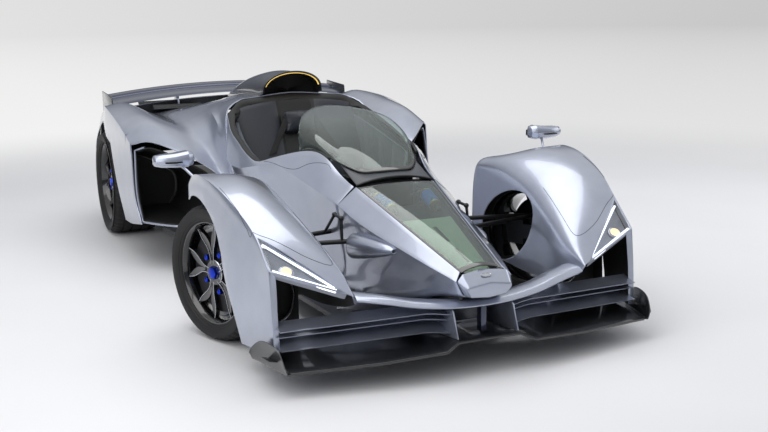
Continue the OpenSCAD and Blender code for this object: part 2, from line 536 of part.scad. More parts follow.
// Steering wheel, its column turning in the dash
wheel_spot = [0, station(330), 600];
wheel_lean = 22;
module column(d, long) translate(wheel_spot) rotate([90 + wheel_lean, 0, 0]) cylinder(h = long, d = d);
module dash() color("#1d2024") place() difference() {
    translate([-184, station(120), 500]) cube([368, 110, 215]);
    column(40 + 2 * pin_gap, 260);
}
module steering_wheel() color("#1b1c1e") place() {
    translate(wheel_spot) rotate([wheel_lean - 90, 0, 0]) {
        rotate_extrude() translate([150, 0]) circle(13, $fn = 24);
        cylinder(h = 24, r = 40, center = true);
        for (a = [0, 180, 270]) rotate([0, 0, a]) translate([30, -14, -6]) cube([112, 28, 12]);
    }
    column(40, 180);
}
module engine_block() color("#77797d") place() translate([-290, station(1690), 140]) cube([580, 700, 500]);

module steered(s) { translate([s * front_x, 0, 0]) rotate([0, 0, steer_rest]) children(); }
module knuckle(s) color("#6b6e73") place() steered(s) {
    translate([0, 0, lower_z - 16]) cylinder(h = upper_z - lower_z + 32, d = pin_d, $fn = 32);
    translate([0, 0, lower_z + 18]) cylinder(h = upper_z - lower_z - 36, d = 46, $fn = 32);
    translate([0, 0, front_tyre_r]) {
        rotate([0, s * 90, 0]) cylinder(h = disc_in - pin_gap, d = 90, $fn = 32);
        mirror([s < 0 ? 1 : 0, 0, 0]) calliper(front_rim_r);
    }
}

// Distance from a wheel's centre plane to its brake disc's inner face
disc_in = 31;
disc_t = 28;
// Tyre turned about the wheel's axis; outline of [radius, offset]
module tyre(r, w, bead) color("#151617") rotate([0, 90, 0]) rotate_extrude($fn = 72) polygon([
    [bead, -w * 0.42], [bead + 14, -w * 0.46], [mix(bead, r, 0.5), -w * 0.5], [r - 26, -w * 0.48],
    [r - 6, -w * 0.40], [r, -w * 0.30], [r, w * 0.30], [r - 6, w * 0.40], [r - 26, w * 0.48],
    [mix(bead, r, 0.5), w * 0.5], [bead + 14, w * 0.46], [bead, w * 0.42]]);

// Half outline of a petal spoke: distance from the axle as a share of the rim's radius, half width
petal = [[0.18, 15], [0.38, 12], [0.5, 24], [0.64, 42], [0.7, 30], [0.8, 17], [0.935, 15]];
// Rim with five petal spokes toward the outer side, and the brake disc
module rim(r, w, s) color("#3a3c40") rotate([0, 90, 0]) {
    rotate_extrude($fn = 72) polygon([[r - 0.4, -w * 0.42], [r - 0.4, w * 0.42], [r - 12, w * 0.42],
        [r - 20, w * 0.36], [r - 26, 0], [r - 20, -w * 0.36], [r - 12, -w * 0.42]]);
    translate([0, 0, s * w * 0.30 - 14]) {
        cylinder(h = 28, r = 62);
        for (k = [0:4]) rotate([0, 0, 72 * k]) linear_extrude(24) polygon([for (m = [1, -1])
            for (p = m > 0 ? petal : reversed(petal)) [p[0] * r, m * p[1]]]);
    }
    mirror([0, 0, s > 0 ? 0 : 1]) translate([0, 0, disc_in]) {
        cylinder(h = disc_t, r = r - 55);
        cylinder(h = w * 0.3 - disc_in, r = 52);
    }
}

// Brake calliper behind the hub, reaching over the disc of a rim of radius r
module calliper(r) {
    translate([-6, 30, -40]) cube([disc_in - 12, r - 100, 80]);
    intersection() {
        translate([-6, 0, -75]) cube([disc_in + disc_t - 6, r, 150]);
        rotate([0, 90, 0]) difference() {
            cylinder(h = disc_in + disc_t, r = r - 32, $fn = 72);
            translate([0, 0, -1]) cylinder(h = disc_in + disc_t + 2, r = r - 49, $fn = 72);
        }
    }
    intersection() {
        translate([-6, 90, -75]) cube([disc_in - 2, r - 122, 150]);
        rotate([0, 90, 0]) translate([0, 0, -20]) cylinder(h = 2 * disc_in, r = r - 32, $fn = 72);
    }
}

module front_wheel(s) { place() steered(s) translate([0, 0, front_tyre_r]) children(); }
module rear_wheel(s) { place() translate([s * rear_x, wheelbase, rear_tyre_r]) children(); }

floor_pan();
jack_pads();
nose_shell();
nose_cap();
nose_window();
damper_bay();
front_dampers();
scuttle();
windscreen();
cockpit_rim();
cockpit_tub();
side_skins();
rear_clam();
scoop();
scoop_lamp();
intake_ducts();
tail();
tail_lamps();
diffuser();
exhausts();
rear_wing();
wing_mounts();
front_wing();
vanes();
centre_fins();
splitter();
front_pods();
headlights();
mirrors();
front_arms();
rear_arms();
seats();
dash();
steering_wheel();
engine_block();
knuckle(1);  // knuckle_left
knuckle(-1);  // knuckle_right
front_wheel(1)  // tyre_front_left
    tyre(front_tyre_r, front_tyre_w, front_rim_r);
front_wheel(-1)  // tyre_front_right
    tyre(front_tyre_r, front_tyre_w, front_rim_r);
front_wheel(1) rim(front_rim_r, front_tyre_w, 1);  // rim_front_left
front_wheel(-1) rim(front_rim_r, front_tyre_w, -1);  // rim_front_right
rear_wheel(1)  // tyre_rear_left
    tyre(rear_tyre_r, rear_tyre_w, rear_rim_r);
rear_wheel(-1)  // tyre_rear_right
    tyre(rear_tyre_r, rear_tyre_w, rear_rim_r);
rear_wheel(1) rim(rear_rim_r, rear_tyre_w, 1);  // rim_rear_left
rear_wheel(-1) rim(rear_rim_r, rear_tyre_w, -1);  // rim_rear_right
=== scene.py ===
"""Looks of an open two-seat speedster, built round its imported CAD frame.

Tables hold millimetres, with y measured from the front axle as in the part's source. Everything
else is in metres in the frame: x to the car's left, y to its rear, z up.
"""

import math

import bmesh
import bpy
from mathutils import Matrix, Vector


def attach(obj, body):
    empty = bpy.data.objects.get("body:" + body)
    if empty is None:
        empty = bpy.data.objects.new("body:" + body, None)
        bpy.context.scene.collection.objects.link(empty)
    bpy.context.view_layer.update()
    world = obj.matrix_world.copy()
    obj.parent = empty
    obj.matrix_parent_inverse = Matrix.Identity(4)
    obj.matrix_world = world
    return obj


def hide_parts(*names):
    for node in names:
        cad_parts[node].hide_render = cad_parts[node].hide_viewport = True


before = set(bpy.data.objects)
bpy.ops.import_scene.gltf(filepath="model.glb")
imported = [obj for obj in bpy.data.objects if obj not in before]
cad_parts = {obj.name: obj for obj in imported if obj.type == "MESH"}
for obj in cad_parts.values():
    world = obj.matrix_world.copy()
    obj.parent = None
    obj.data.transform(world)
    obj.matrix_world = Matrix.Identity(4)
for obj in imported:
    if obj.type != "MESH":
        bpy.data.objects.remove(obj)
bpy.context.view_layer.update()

MM = 0.001
MIDDLE_Y = 1183.5
WHEELBASE = 2752
FRONT_X, REAR_X = 874, 820
FRONT_R, REAR_R = 336, 359
STEER_REST = math.radians(19)
REAR_ARCH_Z = REAR_R + 10
SEAT_FLOOR = 172.5
SKIN = 6
GAP = 2.2
CAR = "car"
SIDES = (("left", 1), ("right", -1))


# Materials

def colour(code, alpha=1.0):
    """An sRGB hex value as the linear colour that a shader takes."""
    parts = [int(code[i:i + 2], 16) / 255 for i in (1, 3, 5)]
    return [p / 12.92 if p <= 0.04045 else ((p + 0.055) / 1.055) ** 2.4 for p in parts] + [alpha]


def add(tree, kind, settings=None, links=None):
    """Adds a node with its settings, a ramp's stops among them, and links what feeds its sockets."""
    node = tree.nodes.new(kind)
    for key, value in (settings or {}).items():
        if key == "stops":
            while len(node.color_ramp.elements) < len(value):
                node.color_ramp.elements.new(0.5)
            for element, (where, code) in zip(node.color_ramp.elements, value):
                element.position = where
                element.color = colour(code)
        elif key in node.inputs:
            node.inputs[key].default_value = value
        else:
            setattr(node, key, value)
    for key, source in (links or {}).items():
        tree.links.new(source, node.inputs[key])
    return node


def finish(name, base, **sockets):
    """A material whose plain values sit on the shader's own sockets."""
    made = bpy.data.materials.new(name)
    made.use_nodes = True
    tree = made.node_tree
    shader = tree.nodes["Principled BSDF"]
    shader.inputs["Base Color"].default_value = colour(base)
    for key, value in sockets.items():
        shader.inputs[key.replace("_", " ")].default_value = value
    return made, tree, shader, add(tree, "ShaderNodeTexCoord").outputs["Object"]


def metallic_paint(name, dark, base, light):
    """Base coat with aluminium flake under clear lacquer: a soft metal glow below a sharp mirror.
    The flake is far too fine to show, so only its faint clouds are drawn, about 120 mm across."""
    made, tree, shader, place = finish(name, base, Metallic=0.75, Roughness=0.28, Coat_Weight=1.0,
                                       Coat_Roughness=0.02, Coat_IOR=1.5)
    cloud = add(tree, "ShaderNodeTexNoise", {"Scale": 1 / (120 * MM), "Detail": 2.0}, {"Vector": place})
    tint = add(tree, "ShaderNodeValToRGB", {"stops": [(0.25, dark), (0.5, base), (0.75, light)]},
               {"Fac": cloud.outputs["Fac"]})
    tree.links.new(tint.outputs["Color"], shader.inputs["Base Color"])
    return made


def carbon_twill(name, lacquer):
    """Carbon twill in resin under lacquer: a dark chequer of tows, its two tones the weave's pattern and a
    painted sheen of the tows catching the light in turn.
    The tows are drawn at 4 mm, twice as wide as real, so that the weave shows."""
    made, tree, shader, place = finish(name, "#131416", Roughness=0.34, Coat_Weight=lacquer,
                                       Coat_Roughness=0.05)
    turn = add(tree, "ShaderNodeMapping", {"Rotation": (0, 0, math.radians(45))}, {"Vector": place})
    # Painted sheen: the chequer's lighter tone stands for tows that catch the light, the darker one for
    # tows that don't
    weave = add(tree, "ShaderNodeTexChecker", {"Scale": 1 / (4 * MM), "Color1": colour("#222427"),
                "Color2": colour("#0c0d0e")}, {"Vector": turn.outputs["Vector"]})
    tow = add(tree, "ShaderNodeBump", {"Strength": 0.4, "Distance": 0.08 * MM},
              {"Height": weave.outputs["Fac"]})
    tree.links.new(weave.outputs["Color"], shader.inputs["Base Color"])
    tree.links.new(tow.outputs["Normal"], shader.inputs["Normal"])
    return made


def grained(name, base, other, size_mm, depth_mm, **sockets):
    """A moulded, cast, coated or woven surface: two close tones over a grain of that size and depth."""
    made, tree, shader, place = finish(name, base, **sockets)
    grain = add(tree, "ShaderNodeTexNoise", {"Scale": 1 / (size_mm * MM), "Detail": 4.0}, {"Vector": place})
    tint = add(tree, "ShaderNodeValToRGB", {"stops": [(0.3, other), (0.7, base)]},
               {"Fac": grain.outputs["Fac"]})
    relief = add(tree, "ShaderNodeBump", {"Strength": 0.6, "Distance": depth_mm * MM},
                 {"Height": grain.outputs["Fac"]})
    tree.links.new(tint.outputs["Color"], shader.inputs["Base Color"])
    tree.links.new(relief.outputs["Normal"], shader.inputs["Normal"])
    return made


def hide(name, base, crease_shade):
    """Full-grain hide: cells about 2.4 mm wide with fine creases between them, the creases painted darker
    as painted shade.
    """
    made, tree, shader, place = finish(name, base, Roughness=0.5, Sheen_Weight=0.1)
    cells = add(tree, "ShaderNodeTexVoronoi", {"Scale": 1 / (2.4 * MM)}, {"Vector": place})
    # Painted shade: the creases between the cells take the darker tone
    tint = add(tree, "ShaderNodeValToRGB", {"stops": [(0.0, base), (0.7, crease_shade)]},
               {"Fac": cells.outputs["Distance"]})
    relief = add(tree, "ShaderNodeBump", {"Strength": 0.5, "Distance": 0.3 * MM, "invert": True},
                 {"Height": cells.outputs["Distance"]})
    tree.links.new(tint.outputs["Color"], shader.inputs["Base Color"])
    tree.links.new(relief.outputs["Normal"], shader.inputs["Normal"])
    return made


def turned_metal(name, base, other, roughness):
    """Turned, brushed or drawn metal: fine streaks along one way break up its shine."""
    made, tree, shader, place = finish(name, base, Metallic=1.0, Roughness=roughness)
    stretch = add(tree, "ShaderNodeMapping", {"Scale": (1.0, 1.0, 30.0)}, {"Vector": place})
    streak = add(tree, "ShaderNodeTexNoise", {"Scale": 1 / (14 * MM), "Detail": 4.0},
                 {"Vector": stretch.outputs["Vector"]})
    tint = add(tree, "ShaderNodeValToRGB", {"stops": [(0.35, other), (0.65, base)]},
               {"Fac": streak.outputs["Fac"]})
    tree.links.new(tint.outputs["Color"], shader.inputs["Base Color"])
    return made


def clear(name, tint, ior):
    """Clear sheet: light passes with a slight tint, and the face mirrors at a slant."""
    made, tree, shader, place = finish(name, tint, IOR=ior, Transmission_Weight=1.0)
    smear = add(tree, "ShaderNodeTexNoise", {"Scale": 1 / (90 * MM), "Detail": 2.0}, {"Vector": place})
    rough = add(tree, "ShaderNodeMapRange", {"To Min": 0.0, "To Max": 0.02},
                {"Value": smear.outputs["Fac"]})
    tree.links.new(rough.outputs["Result"], shader.inputs["Roughness"])
    return made


def glowing(name, base, light, strength):
    """A light guide of opal plastic lit from inside, a little uneven along its length."""
    made, tree, shader, place = finish(name, base, Roughness=0.3, Emission_Strength=strength)
    cloud = add(tree, "ShaderNodeTexNoise", {"Scale": 1 / (30 * MM)}, {"Vector": place})
    tint = add(tree, "ShaderNodeValToRGB", {"stops": [(0.3, light), (0.8, base)]},
               {"Fac": cloud.outputs["Fac"]})
    tree.links.new(tint.outputs["Color"], shader.inputs["Emission Color"])
    return made


# Body colour: bright where it faces a light, blue-grey in shade
silver = metallic_paint("silver_blue_lacquered_paint", "#a4aabb", "#a9afbf", "#aeb4c3")
# The wing's darker coat of the same kind
steel_blue = metallic_paint("dark_blue_grey_lacquered_paint", "#363c50", "#383e53", "#3a4056")
# Splitter, scoop and diffuser: near black with sharp highlights
carbon = carbon_twill("gloss_carbon_twill", 0.9)
# Floor and tail: the same weave with a dull sheen
satin_carbon = carbon_twill("satin_carbon_twill", 0.2)
# Arms and brackets: black with a soft, even shine
black_satin = grained("satin_black_powder_coat", "#17181a", "#101112", 1.6, 0.05, Roughness=0.42)
# Rims and the glass's printed band: black with clear reflections
black_gloss = grained("gloss_black_enamel", "#0d0e10", "#090a0b", 9.0, 0.02, Roughness=0.2, Coat_Weight=1.0)
# Liners and linings: flat black with a fine grain
black_moulding = grained("black_moulded_polypropylene", "#0e0f10", "#090a0a", 1.2, 0.08, Roughness=0.62)
# Seals and gaps: the darkest lines on the body
seal_rubber = grained("black_seal_rubber", "#0c0c0d", "#080808", 2.0, 0.05, Roughness=0.7)
# Scuttle and trays: dark grey with a low shine
grey_moulding = grained("dark_grey_satin_moulding", "#3f4248", "#373a40", 2.2, 0.06, Roughness=0.38)
# Brow over the cockpit: black hide, hardly any shine, its creases in painted shade
black_hide = hide("black_leather", "#17181b", "#0b0c0d")
# Tyres: dull charcoal
tread_rubber = grained("black_tyre_rubber", "#121213", "#0c0c0d", 3.0, 0.2, Roughness=0.6)
# Seats and trim: blue-grey hide with creases, the creases in painted shade
leather = hide("dark_blue_grey_leather", "#272d38", "#191d25")
# Inside of the tub: a soft nap without highlights
lining = grained("blue_grey_suede_cloth", "#3a414d", "#2f3540", 1.5, 0.25, Roughness=0.9, Sheen_Weight=0.3)
# Belts: flat black with a coarse weave
webbing = grained("black_belt_webbing", "#141516", "#0d0d0e", 2.0, 0.3, Roughness=0.8)
# Spoke edges and mirror glass: bright metal with fine streaks
machined = turned_metal("diamond_turned_aluminium", "#c3c6cc", "#a9acb3", 0.24)
# Uprights and engine: grainy mid-grey metal
cast_alloy = grained("cast_aluminium", "#7d7f83", "#696b6f", 2.5, 0.3, Metallic=1.0, Roughness=0.45)
# Discs: dark metal with turned streaks
iron = turned_metal("dark_ground_brake_disc", "#3a3a3c", "#2c2c2e", 0.4)
# Wheel nuts and caps: deep blue metal
blue_anodised = turned_metal("blue_anodised_aluminium", "#2a46d8", "#2238ae", 0.28)
# Springs: strong sky blue with a low shine
blue_coil = grained("blue_powder_coated_spring_steel", "#1f86ee", "#1a76d4", 2.0, 0.04, Roughness=0.35)
# Spring ends: pale gold metal
gold_anodised = turned_metal("pale_gold_anodised_aluminium", "#cdb47a", "#b69d63", 0.3)
# Exhausts: brown and violet tints on steel
heat_steel = turned_metal("heat_tinted_stainless", "#8b8178", "#6b5f63", 0.3)
# Windscreen and nose window: clear with a green cast
screen_glass = clear("laminated_green_tinted_glass", "#cfe2d8", 1.52)
# Headlight lens: clear and colourless
lamp_glass = clear("clear_polycarbonate_lens", "#f4f7fb", 1.58)
# Headlight bars, projector and intake arc: lit plastic in cool white, warm white and amber
white_light = glowing("white_light_guide", "#e8edf6", "#f3f6ff", 1.3)
warm_light = glowing("warm_projector_lens", "#f0dcb8", "#ffe2ac", 1.0)
amber_light = glowing("amber_light_guide", "#e0bc62", "#f2d27e", 1.15)
# Tail lamps, unlit: glossy dark red
red_lens = grained("red_moulded_lens", "#a01818", "#8a1010", 6.0, 0.1, Roughness=0.12, Coat_Weight=1.0)
# Inside of the headlights: light grey with a satin shine
lamp_grey = grained("grey_satin_lamp_moulding", "#9ca0a8", "#90949c", 2.2, 0.05, Roughness=0.35)
# Coolers and ducts: black with a coarse, deep relief
radiator = grained("black_radiator_core", "#141517", "#050505", 5.0, 0.8, Roughness=0.6)
# Plate below the nose window: pale green-grey, almost flat
plate_green = grained("pale_green_grey_satin_plate", "#a9b7a4", "#9caa97", 8.0, 0.1, Roughness=0.4)


# Lines of the body's left half, as in the part's source: rows are (y, x, z) in millimetres.

WINDOW_EDGE = [(-975, 107, 456), (-73, 220, 702)]
NOSE_CREASE = [(-1000, 138, 421), (-800, 190, 461), (-600, 230, 498), (-400, 267, 532),
               (-200, 299, 576), (-62, 318, 617)]
NOSE_SIDE = [(-1000, 122, 385), (-800, 165, 380), (-600, 205, 350), (-300, 255, 320), (-62, 285, 320)]
NOSE_LOW = [(-1000, 95, 348), (-800, 135, 310), (-600, 180, 250), (-300, 240, 175), (-62, 270, 140)]
NOSE_KEEL = [(-1000, 0, 338), (-800, 0, 300), (-600, 0, 238), (-300, 0, 162), (-62, 0, 130)]

RIM_LINE = [(-60, 228, 703), (0, 234, 717), (100, 245, 753), (200, 262, 806), (300, 284, 834),
            (400, 322, 831), (500, 382, 807), (600, 440, 776), (700, 492, 747), (800, 510, 766),
            (900, 514, 793), (1000, 511, 822), (1150, 504, 860), (1300, 477, 908), (1420, 452, 948)]
SIDE_CREASE = [(-60, 318, 617), (0, 326, 630), (200, 358, 669), (400, 405, 719), (560, 452, 750),
               (700, 512, 722), (900, 552, 690), (1100, 552, 715), (1280, 500, 770)]
SIDE_LOW = [(-60, 285, 320), (200, 330, 360), (600, 420, 420), (900, 500, 470), (1150, 530, 575)]
SIDE_FOOT = [(-60, 270, 140), (200, 320, 128), (600, 400, 128), (1150, 500, 128)]
HOOP_LINE = [(1420, 452, 948), (1461, 400, 979), (1499, 350, 1009), (1515, 250, 1021),
             (1529, 125, 1030), (1544, 0, 1038)]

CLAM_SILL = [(1525, 985, 285), (1900, 990, 232), (2752, 985, 230), (3100, 950, 300), (3380, 880, 360)]
CLAM_SIDE = [(1610, 1000, 450), (2200, 1005, 470), (2752, 1003, 520), (3100, 975, 560), (3380, 900, 560)]
CLAM_CREASE = [(1645, 1000, 760), (1900, 1002, 832), (2200, 1000, 886), (2540, 985, 912),
               (2700, 962, 900), (2860, 935, 862), (3120, 915, 805), (3380, 880, 742)]
CLAM_CREST = [(1490, 905, 792), (1740, 870, 880), (2170, 855, 918), (2540, 850, 932), (2700, 858, 915),
              (2860, 850, 872), (3120, 840, 822), (3380, 815, 760)]
CLAM_SHOULDER = [(1285, 735, 722), (1500, 730, 790), (1740, 725, 846), (2170, 720, 872),
                 (2600, 720, 872), (2860, 715, 845), (3120, 710, 812), (3380, 700, 762)]
CLAM_VALLEY = [(1230, 610, 640), (1500, 615, 745), (1760, 605, 810), (2170, 600, 832), (2700, 600, 826),
               (3120, 600, 795), (3380, 590, 755)]
CLAM_INNER = [(1150, 530, 575), (1400, 545, 700), (1700, 535, 830), (2170, 500, 868), (2700, 480, 848),
              (3380, 470, 760)]
CLAM_FLANK = [(1280, 500, 770), (1600, 480, 900), (2100, 400, 915), (2700, 340, 872), (3380, 320, 768)]
CLAM_HOOP = [(1420, 452, 948), (1700, 410, 950), (2200, 300, 940), (2700, 240, 888), (3380, 220, 775)]
CLAM_BROW = [(1500, 350, 1010), (1800, 320, 985), (2200, 240, 956), (2700, 190, 896), (3380, 170, 778)]
CLAM_SPINE = [(1516, 250, 1022), (1800, 230, 1006), (2200, 190, 970), (2700, 150, 902), (3380, 130, 780)]
CLAM_CENTRE = [(1545, 0, 1040), (1800, 0, 1025), (2200, 0, 985), (2700, 0, 910), (3380, 0, 782)]

SCOOP_LINE = [(1450, 196, 138), (1650, 190, 155), (2000, 160, 144), (2400, 115, 115), (2800, 60, 66)]
SCOOP_BASE = [(1450, 0, 1040), (1545, 0, 1020), (1800, 0, 1004), (2200, 0, 965), (2800, 0, 884)]

POD_FOOT = [(-838, 920, 140), (-600, 960, 130), (-400, 1000, 130), (100, 1010, 200), (190, 1005, 560)]
POD_FLANK = [(-824, 922, 340), (-600, 965, 370), (-400, 1005, 400), (100, 1015, 480), (190, 1008, 620)]
POD_CREASE = [(-805, 922, 514), (-649, 930, 640), (-480, 962, 735), (-300, 990, 795), (-120, 1010, 822),
              (40, 1015, 812), (180, 1010, 740)]
POD_TOP = [(-862, 760, 458), (-700, 775, 600), (-480, 800, 720), (-250, 820, 792), (-40, 825, 812),
           (220, 820, 750)]
POD_SHOULDER = [(-912, 587, 396), (-760, 605, 500), (-500, 640, 620), (-250, 660, 700), (0, 665, 748),
                (240, 655, 730)]
POD_INNER = [(-906, 578, 378), (-740, 560, 420), (-500, 590, 500), (-250, 615, 560), (0, 622, 600),
             (260, 622, 600)]
POD_INNER_LOW = [(-896, 570, 360), (-700, 545, 330), (-450, 575, 320), (0, 612, 330), (268, 618, 330)]
POD_INNER_FOOT = [(-880, 560, 345), (-680, 540, 280), (-450, 570, 248), (0, 608, 240), (272, 614, 240)]

SCREEN_BASE = [(0, 15, 752), (70, 18, 751), (140, 45, 750), (195, 110, 774), (232, 200, 800),
               (258, 300, 822), (290, 400, 826), (318, 470, 814)]
SCREEN_EDGE = [(0, 915, 1013), (100, 860, 1007), (195, 745, 990), (250, 650, 966), (285, 580, 935),
               (303, 530, 900), (312, 500, 860), (319, 474, 818)]


# Shapes

def at(x, y, z):
    """A point of the tables, in the frame."""
    return Vector((x, y - MIDDLE_Y, z)) * MM


def hermite(a, b, slope_a, slope_b, u):
    """The value at share u of a smooth step from a to b that leaves and arrives at those slopes."""
    return ((2 * u ** 3 - 3 * u ** 2 + 1) * a + (u ** 3 - 2 * u ** 2 + u) * slope_a
            + (3 * u ** 2 - 2 * u ** 3) * b + (u ** 3 - u ** 2) * slope_b)


def along(line, y):
    """The line's point at station y, smooth between its rows."""
    i = 0
    while i < len(line) - 2 and y >= line[i + 1][0]:
        i += 1
    step = line[i + 1][0] - line[i][0]

    def slope(k, c):
        a, b = line[max(k - 1, 0)], line[min(k + 1, len(line) - 1)]
        return (b[c] - a[c]) / (b[0] - a[0]) * step

    u = (y - line[i][0]) / step
    x, z = (hermite(line[i][c], line[i + 1][c], slope(i, c), slope(i + 1, c), u) for c in (1, 2))
    return Vector((x, y, z))


def across_row(row, fine, sharp):
    """More points along one row, smooth but for the corners at the sharp columns."""
    last = len(row) - 1
    dense = []
    for j in range(last):
        a, b = row[j], row[j + 1]
        leave = b - a if j == 0 or j in sharp else (row[j + 1] - row[j - 1]) / 2
        reach = b - a if j + 1 == last or j + 1 in sharp else (row[j + 2] - row[j]) / 2
        length = (b - a).length
        leave = leave * min(1, 1.2 * length / max(leave.length, 1e-6))
        reach = reach * min(1, 1.2 * length / max(reach.length, 1e-6))
        dense += [hermite(a, b, leave, reach, k / fine) for k in range(fine)]
    return dense + [row[last]]


def loft(lines, rows, fine=5, sharp=(), whole=False):
    """Grid of table points through the lines, from their fronts to their rears."""
    grid = []
    for i in range(rows + 1):
        row = []
        for line in lines:
            first, last = line[0][0], line[-1][0]
            row.append(along(line, first + (last - first) * i / rows))
        corners = set(sharp)
        if whole:
            row = whole_row(row)
            corners |= {len(row) - 1 - j for j in sharp}
        grid.append(across_row(row, fine, corners))
    return grid


def flip(points, x):
    """The points on the car's left, where x is 1, or mirrored to its right, where it is -1."""
    return [Vector((x * p.x, p.y, p.z)) for p in points]


def shares(steps):
    """Even shares from 0 to 1, in that many steps."""
    return [k / steps for k in range(steps + 1)]


def whole_row(half):
    """A row from the car's left through its middle to its right, from its left half."""
    return half + flip(reversed(half[:-1]), -1)


def left_only(x, *nodes):
    """The CAD nodes that a pair of pieces stands for, named by its left piece alone."""
    return nodes if x > 0 else ()


def round_point(y, z, radius, degrees):
    """The (y, z) of a point on a circle about y and z, its angle from the rear upwards."""
    return y + radius * math.cos(math.radians(degrees)), z + radius * math.sin(math.radians(degrees))


def mirrored(grid):
    """The grid on the car's other side."""
    return [flip(row, -1) for row in grid]


def new_object(name, mesh, finishes, body=CAR, hides=(), slot=None):
    """A piece that rides on its body, with the CAD nodes it stands for; its slot is not used."""
    obj = bpy.data.objects.new(name, mesh)
    bpy.context.scene.collection.objects.link(obj)
    for made in finishes if isinstance(finishes, (list, tuple)) else [finishes]:
        mesh.materials.append(made)
    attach(obj, body)
    if hides:
        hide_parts(*hides)
    return obj


def mesh_of(name, points, faces, marks=None):
    """A mesh of points and faces; the marks number each face's material."""
    mesh = bpy.data.meshes.new(name)
    mesh.from_pydata([tuple(p) for p in points], [], faces)
    if marks:
        for face, mark in zip(mesh.polygons, marks):
            face.material_index = mark
    mesh.validate()
    mesh.update()
    return mesh


def soften(obj, degrees=32):
    """Smooth shading that keeps the edges sharper than the angle."""
    obj.data.shade_smooth()
    obj.data.set_sharp_from_angle(angle=math.radians(degrees))


def bake(obj, degrees=32):
    """The object's modifiers become its mesh."""
    graph = bpy.context.evaluated_depsgraph_get()
    made = bpy.data.meshes.new_from_object(obj.evaluated_get(graph))
    obj.modifiers.clear()
    obj.data = made
    soften(obj, degrees)
    return obj


def closed_row(row, fine, sharp=()):
    """More points round a closed row, smooth but for the corners at the sharp columns."""
    n = len(row)
    dense = []
    for j in range(n):
        a, b = row[j], row[(j + 1) % n]
        length = (b - a).length
        leave = b - a if j in sharp else (b - row[j - 1]) / 2
        reach = b - a if (j + 1) % n in sharp else (row[(j + 2) % n] - a) / 2
        leave = leave * min(1, 1.2 * length / max(leave.length, 1e-6))
        reach = reach * min(1, 1.2 * length / max(reach.length, 1e-6))
        dense += [hermite(a, b, leave, reach, k / fine) for k in range(fine)]
    return dense


def sheet(name, grid, thick, finishes, out=(0, 0, 1), edge=1.2, cuts=(), marks=None, lined=False, **ride):
    """A panel on a grid of table points: its outer face on the grid, its thickness inward.
    A lined one has a black inner face."""
    rows, cols = len(grid), len(grid[0])
    points = [at(*p) for row in grid for p in row]
    faces = [(i * cols + j, i * cols + j + 1, (i + 1) * cols + j + 1, (i + 1) * cols + j)
             for i in range(rows - 1) for j in range(cols - 1)]
    tints = [marks(i, j) for i in range(rows - 1) for j in range(cols - 1)] if marks else None
    mesh = mesh_of(name, points, faces, tints)
    facing = sum((f.normal.dot(Vector(out)) * f.area for f in mesh.polygons))
    if facing < 0:
        mesh.flip_normals()
    obj = new_object(name, mesh, finishes, **ride)
    solid = obj.modifiers.new("thickness", "SOLIDIFY")
    solid.thickness, solid.offset, solid.use_quality_normals = thick * MM, -1, True
    if lined:
        mesh.materials.append(black_moulding)
        solid.material_offset = 1
    for shape in cuts:
        carve = obj.modifiers.new("cut", "BOOLEAN")
        carve.operation, carve.solver, carve.object = "DIFFERENCE", "EXACT", shape
    if edge:
        round_off(obj, edge)
    return bake(obj)


def round_off(obj, width, degrees=50, segments=2):
    """Rounds the edges that are sharper than the angle, once the modifiers are baked."""
    rounded = obj.modifiers.new("edge", "BEVEL")
    rounded.width, rounded.segments = width * MM, segments
    rounded.limit_method, rounded.angle_limit = "ANGLE", math.radians(degrees)
    rounded.use_clamp_overlap = True


def prism_mesh(name, outline, x0, x1):
    """A prism along x of an outline of (y, z)."""
    n = len(outline)
    points = [at(x, y, z) for x in (x0, x1) for y, z in outline]
    faces = [tuple(range(n)), tuple(reversed(range(n, 2 * n)))]
    faces += [(i, (i + 1) % n, n + (i + 1) % n, n + i)[::-1] for i in range(n)]
    mesh = mesh_of(name, points, faces)
    tidy_normals(mesh)
    return mesh


def tidy_normals(mesh):
    """Welds doubled points and turns every face outward."""
    work = bmesh.new()
    work.from_mesh(mesh)
    bmesh.ops.remove_doubles(work, verts=work.verts, dist=1e-6)
    bmesh.ops.recalc_face_normals(work, faces=work.faces)
    work.to_mesh(mesh)
    work.free()


def tool(mesh):
    """An object that only cuts, and is dropped afterwards."""
    obj = bpy.data.objects.new("cutter", mesh)
    bpy.context.scene.collection.objects.link(obj)
    return obj


def cutter(outline, x0, x1):
    """A prism that cuts, from an outline of (y, z)."""
    return tool(prism_mesh("cutter", outline, x0, x1))


def drop(objects):
    """Removes the cutters."""
    for obj in objects:
        bpy.data.objects.remove(obj, do_unlink=True)


def prism(name, outline, x0, x1, finishes, edge=1.0, **ride):
    """A plate or bar along x with rounded edges, from an outline of (y, z)."""
    obj = new_object(name, prism_mesh(name, outline, x0, x1), finishes, **ride)
    if edge:
        round_off(obj, edge)
    return bake(obj)


def block_mesh(size, rounding):
    """A rounded block centred on the origin, in millimetres."""
    work = bmesh.new()
    bmesh.ops.create_cube(work, size=1.0, matrix=Matrix.Diagonal((*[s * MM for s in size], 1.0)))
    bmesh.ops.bevel(work, geom=work.edges[:], offset=rounding * MM, segments=3, profile=0.5,
                    affect="EDGES")
    return work


def turned(profile, steps=96, marks=None):
    """Mesh turned about the x axis through a closed profile of (radius, offset) in millimetres."""
    n = len(profile)
    points = [Vector((o, r * math.cos(a), r * math.sin(a))) * MM
              for a in (2 * math.pi * k / steps for k in range(steps)) for r, o in profile]
    faces = []
    tints = []
    for k in range(steps):
        for i in range(n):
            a, b = k * n + i, k * n + (i + 1) % n
            c, d = (k + 1) % steps * n + (i + 1) % n, (k + 1) % steps * n + i
            faces.append((a, b, c, d))
            tints.append(marks[i] if marks else 0)
    return points, faces, tints


